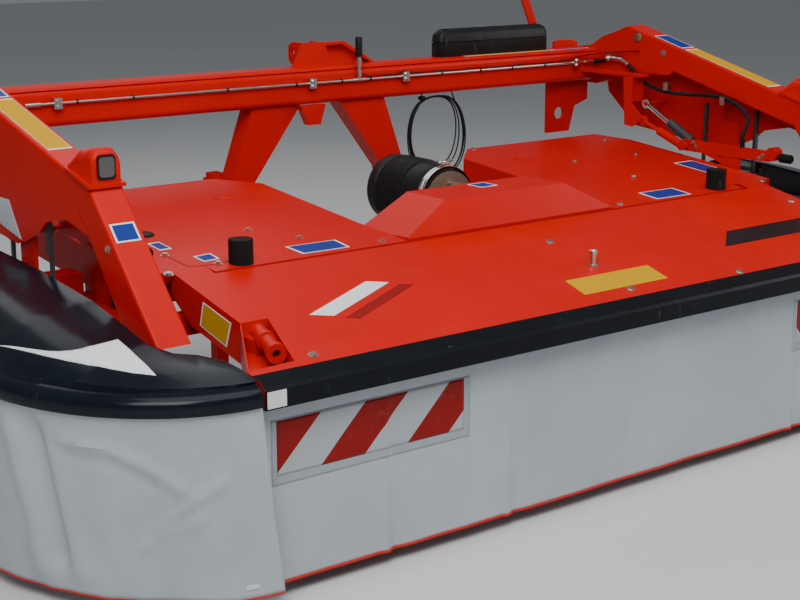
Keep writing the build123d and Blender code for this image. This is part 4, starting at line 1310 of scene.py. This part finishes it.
    def canvas(self) -> Piece:
        """Make the canvas, with folds that grow towards its foot.

        Returns:
            A sheet without a wall.
        """
        rows = []
        lines = self.canvas_rows()
        tall = self.canvas_top - self.canvas_foot
        run = 0.0
        before = lines[0][0]
        for top, foot, way in lines:
            run += (top - before).length
            before = top
            row = []
            for part in spread(0, 1, self.down_steps):
                fold = 7.0 * ripple(run, part * 120, 150) + 4.0 * ripple(run + part * 260, 40, 75)
                fold += 2.5 * ripple(run - part * 400, 300, 60)
                spot = top.lerp(foot, part) - way * (fold + 4) * min(1.0, part * 1.6) * 0.9
                ease = min(1.0, part * 5) * min(1.0, run / 60)
                swell = 4.5 * ripple(run, 900, 65) * math.exp(-((part - 0.14) / 0.09) ** 2)
                spot += way * (self.crease(run, part * tall) + swell) * ease
                row.append(self.put(*spot))
            rows.append(row)
        return solid("guard_canvas_" + self.name, *lattice(rows), Look.CANVAS, True)

    def build(self) -> None:
        """Make the shell with its white film, and the canvas with its hem and tag."""
        body = "guard_" + self.name
        shell = self.shell()
        outline = [(self.side * x, y) for x, y in self.badge]
        film = draped("guard_film_" + self.name, outline[::self.side], shell, Look.WHITE)
        keep(shell, body, "guard_plastic", "fender_" + self.name)
        keep(film, body, "guard_plastic")
        cloth = self.canvas()
        points = [vert.co.copy() for vert in cloth.data.vertices]
        foot = points[self.down_steps - 1::2 * self.down_steps]
        hem = pipe("guard_hem_" + self.name, foot, 3.2, Look.HEM, True)
        cloth = thicken(cloth, 2.4, 0.0)
        keep(cloth, body, "canvas", "side_canvas_" + self.name)
        pieces = [keep(hem, body, "canvas")]
        if self.side < 0:
            corners = [points[row * self.down_steps + line] for row, line in self.tag_spots]
            pieces.append(keep(slab("guard_tag", corners, 0.5, Look.REFLECTOR, 3.0), body, "canvas"))


@dataclass
class Bolts:
    """Hexagon bolt heads with washers, instanced on points."""

    radius: float = 8.0
    height: float = 6.0

    def build(self, name: str, spots: Sequence[tuple], body: str, look: Look) -> Piece:
        """Make the bolts of one body.

        Args:
            name: The piece's name.
            spots: For each bolt its point, the way it faces, and its size factor if it isn't 1.
            body: The body that carries them.
            look: Their finish.

        Returns:
            The finished piece.
        """
        mesh = bpy.data.meshes.new(name)
        mesh.from_pydata([tuple(at(*spot[0])) for spot in spots], [], [])
        mesh.attributes.new("facing", "FLOAT_VECTOR", "POINT")
        mesh.attributes.new("size", "FLOAT", "POINT")
        for index, spot in enumerate(spots):
            mesh.attributes["facing"].data[index].vector = Vector(spot[1]).normalized()
            mesh.attributes["size"].data[index].value = spot[2] if len(spot) > 2 else 1.0
        piece = placed(name, mesh)
        tree, sockets = self.tree(look)
        modifier = piece.modifiers.new("bolts", "NODES")
        modifier.node_group = tree
        modifier[sockets["Radius"]] = self.radius * MM
        modifier[sockets["Height"]] = self.height * MM
        return keep(baked(piece), body, "zinc_steel")

    def tree(self, look: Look) -> tuple[bpy.types.NodeTree, dict[str, str]]:
        """The node tree that puts a head and a washer on each point.

        Args:
            look: The finish of the bolts.

        Returns:
            The tree, and its inputs' identifiers by name.
        """
        tree = bpy.data.node_groups.new("bolt_heads", "GeometryNodeTree")
        face = tree.interface
        face.new_socket("Geometry", in_out="INPUT", socket_type="NodeSocketGeometry")
        sizes = {}
        for name in ("Radius", "Height"):
            sizes[name] = face.new_socket(name, in_out="INPUT", socket_type="NodeSocketFloat").identifier
        face.new_socket("Geometry", in_out="OUTPUT", socket_type="NodeSocketGeometry")

        def add(kind: str, links: dict, **settings: object) -> bpy.types.Node:
            """Add a node.

            Args:
                kind: The node's type.
                links: Values or links of its sockets, by name or number.
                settings: Its properties.

            Returns:
                The node.
            """
            made = tree.nodes.new(kind)
            for key, value in settings.items():
                setattr(made, key, value)
            for key, value in links.items():
                if isinstance(value, bpy.types.NodeSocket):
                    tree.links.new(value, made.inputs[key])
                else:
                    made.inputs[key].default_value = value
            return made

        def times(value: bpy.types.NodeSocket, factor: float) -> bpy.types.NodeSocket:
            """A number multiplied by a factor."""
            return add("ShaderNodeMath", {0: value, 1: factor}, operation="MULTIPLY").outputs[0]

        group = add("NodeGroupInput", {})
        radius, height = group.outputs["Radius"], group.outputs["Height"]
        head = add("GeometryNodeMeshCylinder", {"Vertices": 6, "Radius": radius, "Depth": height})
        washer = add("GeometryNodeMeshCylinder", {
            "Vertices": 20, "Radius": times(radius, 1.45), "Depth": times(height, 0.28),
        })
        lift = add("ShaderNodeCombineXYZ", {"Z": times(height, 0.5)})
        raised = add("GeometryNodeTransform", {
            "Geometry": head.outputs["Mesh"], "Translation": lift.outputs[0],
        })
        both = add("GeometryNodeJoinGeometry", {0: raised.outputs[0]})
        tree.links.new(washer.outputs["Mesh"], both.inputs[0])
        facing = add("GeometryNodeInputNamedAttribute", {"Name": "facing"}, data_type="FLOAT_VECTOR")
        size = add("GeometryNodeInputNamedAttribute", {"Name": "size"}, data_type="FLOAT")
        turn = add("FunctionNodeAlignRotationToVector", {"Vector": facing.outputs["Attribute"]}, axis="Z")
        heads = add("GeometryNodeInstanceOnPoints", {
            "Points": group.outputs["Geometry"], "Instance": both.outputs[0], "Rotation": turn.outputs[0],
            "Scale": size.outputs["Attribute"],
        })
        real = add("GeometryNodeRealizeInstances", {"Geometry": heads.outputs[0]})
        dressed = add("GeometryNodeSetMaterial", {"Geometry": real.outputs[0], "Material": look.material})
        add("NodeGroupOutput", {"Geometry": dressed.outputs[0]})
        return tree, sizes


DECK_SLOPE = 0.0915
COVER_SLOPE = 120 / 575


def deck_z(y: float) -> float:
    """Height of the rear covers' top at a depth, in millimetres."""
    return 811 - (1290 - y) * DECK_SLOPE


def cover_z(y: float) -> float:
    """Height of the front cover's top at a depth, in millimetres."""
    return 605 + (y + 225) * COVER_SLOPE


def arm_top(y: float) -> float:
    """Height of the arms' top at a depth, in millimetres."""
    return 1010 + (y - 331) * 0.262


@dataclass
class Deck:
    """Labels, bolts and seams of the rear covers and the centre cover."""

    hump_z: float = 828
    labels: tuple = (
        ("deck_label_1", ((-818, 478), (-811, 393), (-642, 389), (-638, 472))),
        ("deck_label_2", ((-1114, 513), (-1111, 456), (-1055, 461), (-1052, 521))),
        ("deck_label_3", ((693, 477), (692, 385), (864, 381), (867, 475))),
        ("deck_label_4", ((-1167, 689), (-1167, 611), (-1127, 611), (-1127, 689))),
        ("deck_label_5", ((1184, 759), (1184, 587), (1285, 587), (1285, 759))),
    )
    hump_label: tuple[Pair, ...] = ((-20, 507), (52, 507), (52, 580), (-20, 580))
    seam: tuple[Pair, ...] = ((-1178, 557), (-1174, 434), (-1083, 420), (-1011, 438))
    seam_half: float = 1.6
    bolts: tuple[Pair, ...] = (
        (-817, 685), (-725, 540), (-1084, 424), (-1179, 562), (833, 952), (869, 673), (1158, 937),
        (593, 1270), (516, 395), (-516, 395), (1230, 1180), (-1230, 1180),
    )
    hump_bolts: tuple[Pair, ...] = ((22, 705), (-40, 660))
    gusset: tuple[Pair, ...] = ((-114, 1016), (-80, 943), (-25, 943), (-1, 1016))

    def build(self) -> None:
        """Stick the labels on, lay the seams and set the bolts."""
        for name, plan in self.labels:
            label(name, [(x, y, deck_z(y)) for x, y in plan], Look.BLUE)
        label("hump_label", [(x, y, self.hump_z) for x, y in self.hump_label], Look.BLUE)
        for index, (start, end) in enumerate(zip(self.seam, self.seam[1:])):
            way = (Vector(end) - Vector(start)).normalized()
            side = Vector((way.y, -way.x)) * self.seam_half
            plan = [Vector(start) + side, Vector(end) + side, Vector(end) - side, Vector(start) - side]
            patch(f"deck_seam_{index + 1}", [(x, y, deck_z(y)) for x, y in plan], Look.DEEP_RED)
        up = Vector((0, -DECK_SLOPE, 1))
        plug = [(0, 0), (0.1, 30), (4, 29), (6, 24), (7, 0)]
        keep(turned("deck_plug", at(-1128, 775, deck_z(775)), up, plug, Look.BLACK), "carrier", "rubber")
        dimple = [(0, 0), (0.1, 37), (2.5, 36), (3.5, 33), (3.5, 0)]
        dimples = [turned("dimple", at(x, 1066, deck_z(1066)), up, dimple, Look.RED) for x in (-672, 672)]
        keep(joined("deck_dimples", dimples), "carrier", "red_paint")
        gusset = [at(x, 1452, z) for x, z in self.gusset]
        keep(slab("beam_gusset", gusset, 30, Look.RED), "carrier", "red_paint")
        bolts = [((x, y, deck_z(y)), up) for x, y in self.bolts]
        bolts += [((x, y, self.hump_z), UP, 1.2) for x, y in self.hump_bolts]
        Bolts(9, 7).build("deck_bolts", bolts, "carrier", Look.ZINC)


@dataclass
class FrontCover:
    """Labels, bolts and plates of the front cover and the strip."""

    bolts: tuple[Pair, ...] = (
        (3, 197), (-17, -181), (440, -210), (1193, 194), (-1176, -185), (1266, 387), (-1266, 387),
    )
    flat: tuple = (
        ("cover_label", ((-190, -162), (165, -161), (178, -60), (-175, -61)), Look.YELLOW),
        ("cover_plate", ((573, -37), (956, -37), (1084, 60), (688, 60)), Look.BLACK),
        ("cover_stripe_1", ((-985, -10), (-700, 120), (-760, 150), (-1045, 20)), Look.WHITE),
        ("cover_stripe_2", ((-925, -48), (-640, 82), (-675, 100), (-960, -30)), Look.DEEP_RED),
    )
    notch_x: float = -1250
    notch_label: tuple[Pair, ...] = ((231, 682), (251, 612), (113, 580), (86, 652))
    pin: tuple[Pair, ...] = (
        (-2, 0), (-2, 17), (3, 17), (4, 9), (34, 9), (35, 13), (46, 13), (50, 9), (51, 0),
    )
    strip_end: tuple[Pair, ...] = ((-281, 533), (-229, 533), (-229, 601), (-261, 601), (-281, 581))

    def build(self) -> None:
        """Dress the cover."""
        bolts = [((x, y, cover_z(y)), (0, -COVER_SLOPE, 1)) for x, y in self.bolts]
        Bolts(10, 6).build("cover_bolts", bolts, "front_cover", Look.ZINC)
        for name, plan, look in self.flat:
            patch(name, [(x, y, cover_z(y)) for x, y in plan], look, "front_cover")
        notch = [(self.notch_x, y, z) for y, z in self.notch_label]
        label("notch_label", notch, Look.YELLOW, 5, "front_cover")
        keep(turned("lock_pin", at(4, 3, cover_z(3)), UP, self.pin, Look.ZINC), "front_cover", "zinc_steel")
        for side, name in SIDES:
            low, high = sorted((side * 1380.0, side * 1324.0))
            face = [(low, -285, 533), (high, -285, 533), (high, -285, 576), (low, -285, 576)]
            patch("reflector_" + name, face, Look.REFLECTOR, "front_cover", "strip_rubber")
            end = [(side * 1385, y, z) for y, z in self.strip_end]
            patch("strip_end_" + name, end[::side], Look.DEEP_RED, "front_cover", "strip_rubber")


@dataclass
class Arms:
    """Labels and bolts of the arms and legs, the ribbed panels on the arms, and the levers' gaiters."""

    face: Pair = (1439, 1511)
    labels: tuple = (
        ("arm_label_1", -1, 590, 975, Look.YELLOW), ("arm_label_2", -1, 990, 1090, Look.BLUE),
        ("arm_label_3", 1, 525, 955, Look.YELLOW), ("arm_label_4", 1, 972, 1126, Look.BLUE),
    )
    leg_label: tuple[Pair, ...] = ((-1512, 210), (-1440, 210), (-1440, 250), (-1512, 250))
    leg_slope: float = 363 / 341
    lever_bolts: tuple[Pair, ...] = ((812, 822), (800, 806), (462, 812), (480, 800))
    panel_x: float = 1525.2
    panel: tuple[Pair, ...] = ((975, 905), (840, 907), (768, 802), (985, 842))
    panel_ribs: int = 11
    gaiter_ribs: int = 7

    def build(self) -> None:
        """Dress both arms."""
        for name, side, start, end, look in self.labels:
            low, high = sorted(side * x for x in self.face)
            plan = [(low, start), (high, start), (high, end), (low, end)]
            label(name, [(x, y, arm_top(y)) for x, y in plan], look, 5)
        leg = [(x, y, arm_top(331) + (y - 331) * self.leg_slope) for x, y in self.leg_label]
        label("leg_label", leg, Look.BLUE, 5)
        bolts = [((-1525, 234, 864), (-1, 0, 0), 0.9)]
        for side, _ in SIDES:
            inward = (-side, 0, 0)
            bolts += [((side * 1425, 1204, 1210), inward, 1.7), ((side * 1425, 1061, 1154), inward, 1.2)]
            bolts += [((side * 1348, y, z), inward, 0.9) for y, z in self.lever_bolts]
        Bolts(8, 7).build("arm_bolts", bolts, "carrier", Look.ZINC)
        for side, name in SIDES:
            self.ribbed_panel(side, name)
            self.gaiter(side, name)

    def ribbed_panel(self, side: int, name: str) -> None:
        """Make the ribbed plastic panel on an arm's outer face.

        Args:
            side: -1 for the left arm, 1 for the right one.
            name: The side's name.
        """
        corners = [Vector((side * self.panel_x, y, z)) for y, z in self.panel]
        plate = [slab("panel", [at(*corner) for corner in corners[::side]], 2, Look.GREY)]
        out = Vector((side * 1.8, 0, 0))
        for index in range(self.panel_ribs):
            place = 0.05 + index * 0.09
            top = corners[0].lerp(corners[1], place) + out
            foot = corners[3].lerp(corners[2], place) + out
            plate.append(pipe("rib", [at(*top), at(*foot)], 2.2, Look.GREY, True))
        keep(joined("ribbed_panel_" + name, plate), "carrier", "black_plastic")

    def gaiter(self, side: int, name: str) -> None:
        """Make the ribbed rubber gaiter beside an arm.

        Args:
            side: -1 for the left arm, 1 for the right one.
            name: The side's name.
        """
        ribs = [(0, 0), (0, 13)]
        for index in range(self.gaiter_ribs):
            ribs += [(index * 7 + 2, 17), (index * 7 + 5, 17), (index * 7 + 7, 13)]
        ribs += [(52, 13), (52, 0)]
        boot = turned("gaiter_" + name, at(side * 1356, 382, 812), -BACK, ribs, Look.RUBBER, 28)
        keep(boot, "carrier", "rubber")


@dataclass
class Lamps:
    """The rounded lamp housings on the bends of the arms, with their lenses.

    The profile has each section's depth, height over its seat and half width. A lens part has its name,
    half width, half height, the depth of its front, its finish, its slot and the nodes that it stands for.
    """

    middle_x: float = 1475.0
    bend_z: float = 1010.0
    lens_z: float = 1062.0
    front_y: float = 324.0
    corner: float = 30.0
    profile: tuple[Point, ...] = (
        (324, 84, 42), (332, 96, 42), (345, 102, 42), (362, 100, 42), (385, 90, 42), (410, 72, 43),
        (436, 46, 45), (452, 26, 46), (462, 12, 46),
    )
    lip: tuple[Pair, ...] = ((-54, 318), (54, 318), (56, 326), (54, 460), (-54, 460), (-56, 326))
    lens_parts: tuple = (
        ("frame", 27, 33, 321.0, Look.BLACK, "black_plastic", ()),
        ("lens", 22, 27, 318.0, Look.LENS, "lamp_glass", ("lamp_lenses",)),
    )

    def seat(self, y: float) -> float:
        """Height of the arm under a lamp at a depth."""
        return max(arm_top(y), self.bend_z)

    def build(self) -> None:
        """Make both lamps."""
        for side, name in SIDES:
            self.hood(side * self.middle_x, name)
            for part, wide, tall, y, look, slot, nodes in self.lens_parts:
                outline = rounded(wide, tall, 10, 5)
                face = [at(side * self.middle_x + x, self.front_y, self.lens_z + z) for x, z in outline]
                keep(slab(f"lamp_{part}_{name}", face, self.front_y - y, look), "carrier", slot, *nodes)

    def hood(self, middle: float, name: str) -> None:
        """Make a lamp's housing on its lip.

        Args:
            middle: The lamp's place across the machine.
            name: The side's name.
        """
        rows = []
        for y, high, half in self.profile:
            foot = self.seat(y) - 2
            top = self.bend_z + high if y < 400 else foot + high + 2
            radius = min(self.corner, (top - foot) * 0.75)
            arch = [(-half - 3, foot), (-half, foot + 5)]
            for turn in spread(180, 90, 7):
                angle = math.radians(turn)
                arch.append((-half + radius * (1 + math.cos(angle)), top - radius * (1 - math.sin(angle))))
            arch += [(-x, z) for x, z in arch[::-1]]
            rows.append([at(middle + x, y, z) for x, z in arch])
        hood = solid("lamp_hood_" + name, *tube(rows), Look.RED, True)
        low, high = ([at(middle + x, y, self.seat(y) + lift) for x, y in self.lip] for lift in (-3, 7))
        whole = joined("lamp_hood_" + name, [hood, prism("lip", low, high, Look.RED)])
        keep(whole, "carrier", "red_paint", "lamp_housings")


@dataclass
class BeamLine:
    """Fittings on the crossbeam's pipe: ties, the riser's sleeve and nuts, ferrules of the arm hoses."""

    line_y: float = 1432.0
    line_z: float = 1096.0
    riser_x: float = 160.0
    ties: tuple[float, ...] = (-1010, -800, -424, -128, 76, 210, 560, 760, 930, 1110)
    nuts: tuple[Pair, ...] = ((1110, 18), (1146, 26))
    sleeve: tuple[Pair, ...] = ((0, 11), (0, 13.5), (70, 13.5), (74, 11), (74, 4), (0, 4), (0, 11))
    ferrule: tuple[Pair, ...] = ((1332, 1113), (1292, 1115), (1262, 1105), (1240, 1092))
    collar: tuple[Pair, ...] = ((0, 0), (0, 13), (12, 13), (14, 11), (24, 11), (24, 0))
    clamps: tuple[float, ...] = (-1080, -57, 379, 1290)

    def build(self) -> None:
        """Make the fittings."""
        across = Vector((1, 0, 0))
        dark = [turned("tie", at(x, self.line_y, self.line_z), across, ring(5, 7, 6), Look.BLACK, 16)
                for x in self.ties]
        dark.append(turned("sleeve", at(self.riser_x, self.line_y, 1182), UP, self.sleeve, Look.BLACK))
        keep(joined("line_ties", dark), "carrier", "rubber")
        bright = [turned("nut", at(self.riser_x, self.line_y, z), UP, ring(8, 13, high), Look.ZINC, 6)
                  for z, high in self.nuts]
        for side, _ in SIDES:
            route = [at(side * 1412, y, z) for y, z in self.ferrule]
            bright.append(pipe("ferrule", route, 10.5, Look.BRIGHT))
            start, forward = at(side * 1411, 1362, 1110), Vector((0, -1, 0.06))
            bright.append(turned("collar", start, forward, self.collar, Look.ZINC, 6))
        keep(joined("line_fittings", bright), "carrier", "zinc_steel")
        spots = [((x, 1420, z), (0, -1, 0)) for x in self.clamps for z in (1087, 1105)]
        Bolts(6, 5).build("clamp_bolts", spots, "carrier", Look.BRIGHT)


@dataclass
class BeamTop:
    """What lies on the crossbeam: its low crest, the document box and two labels."""

    top_z: float = 1151.0
    crest: tuple[Pair, ...] = ((1443, 1139), (1449, 1147), (1458, top_z), (1542, top_z), (1557, 1139))
    crest_half: float = 1424.0
    box_middle: Pair = (893.0, 1521.0)
    box_half: Pair = (293.0, 37.0)
    box_corner: float = 26.0
    box_levels: tuple[Pair, ...] = (
        (1149, 3), (1154, 0), (1204, 0), (1206, 4), (1208, 4), (1210, 0), (1234, 3), (1248, 10), (1255, 20),
        (1258, 34),
    )
    labels: tuple = (("beam_label_1", 714, 1185, Look.YELLOW), ("beam_label_2", 1192, 1392, Look.BLUE))

    def build(self) -> None:
        """Make the crest, the box with its rounded lid, and the labels in front of it."""
        ends = [[at(x, y, z) for y, z in self.crest] for x in (-self.crest_half, self.crest_half)]
        keep(solid("beam_crest", *tube(ends), Look.RED), "carrier", "red_paint")
        rows = []
        for z, inset in self.box_levels:
            wide, deep = self.box_half[0] - inset, self.box_half[1] - inset * 0.7
            outline = rounded(wide, deep, self.box_corner, 7)
            rows.append([at(self.box_middle[0] + x, self.box_middle[1] + y, z) for x, y in outline])
        box = solid("document_box_shell", *tube(rows), Look.BLACK, True)
        keep(box, "carrier", "box_plastic", "document_box")
        for name, start, end, look in self.labels:
            plan = ((start, 1459), (end, 1459), (end, 1482), (start, 1482))
            label(name, [(x, y, self.top_z) for x, y in plan], look, 4)


@dataclass
class ShaftGuard:
    """The input shaft's guard: a smooth sleeve with fine rings at the tractor's side, and its bands."""

    axis_z: float = 760.0
    start_y: float = 705.0
    rings: int = 9
    ring_start: float = 130.0
    ring_pitch: float = 15.0
    ring_section: tuple[Pair, ...] = ((0, 120), (4, 121), (8, 120), (10, 113.5), (14, 113.5))

    def build(self) -> None:
        """Make the guard and its two bands with their screws."""
        outline = [(0, 97), (0, 104), (30, 104), (38, 108), (70, 112), (128, 114)]
        for index in range(self.rings):
            place = self.ring_start + index * self.ring_pitch
            outline += [(place + along, radius) for along, radius in self.ring_section]
        outline += [(268, 118), (300, 119), (306, 117), (306, 111), (84, 106), (30, 97), (0, 97)]
        shell = turned("shaft_guard_shell", at(0, self.start_y, self.axis_z), BACK, outline, Look.BLACK, 64)
        keep(shell, "carrier", "black_plastic", "pto_guard")
        bands = []
        for place in (4, 20):
            start = at(0, self.start_y + place, self.axis_z)
            bands.append(turned("band", start, BACK, ring(109, 113, 10), Look.BRIGHT, 64))
        screw = [(-9, 0), (-9, 7), (9, 7), (10, 5), (22, 5), (22, 0)]
        for side, _ in SIDES:
            start, out = at(side * 9, self.start_y + 17, 885), Vector((side, 0, 0.2))
            bands.append(turned("screw", start, out, screw, Look.BRIGHT, 12))
        keep(joined("shaft_guard_bands", bands), "carrier", "zinc_steel")


def dress_nodes() -> None:
    """Give every kept node its finish."""
    slots = {part["node"]: part["material_slot"] for part in frame["record"]["subparts"]}
    for name in frame["nodes"]:
        piece = bpy.data.objects.get(name)
        if piece is None:
            LOG.warning("no object for %s", name)
            continue
        look = SPECIAL.get(name) or SLOTS[slots[name]]
        piece.data.materials.clear()
        piece.data.materials.append(look.material)


def main() -> None:
    """Build the dressed mower."""
    logging.basicConfig(level=logging.INFO, format="%(name)s: %(message)s")
    Studio().build()
    CableHank().build()
    SensorCable().build()
    dress_nodes()
    FrontCanvas().build()
    for side, _ in SIDES:
        SideGuard(side).build()
    for part in (Deck, FrontCover, Arms, Lamps, BeamLine, BeamTop, ShaftGuard):
        part().build()


if __name__ == "__main__":
    main()
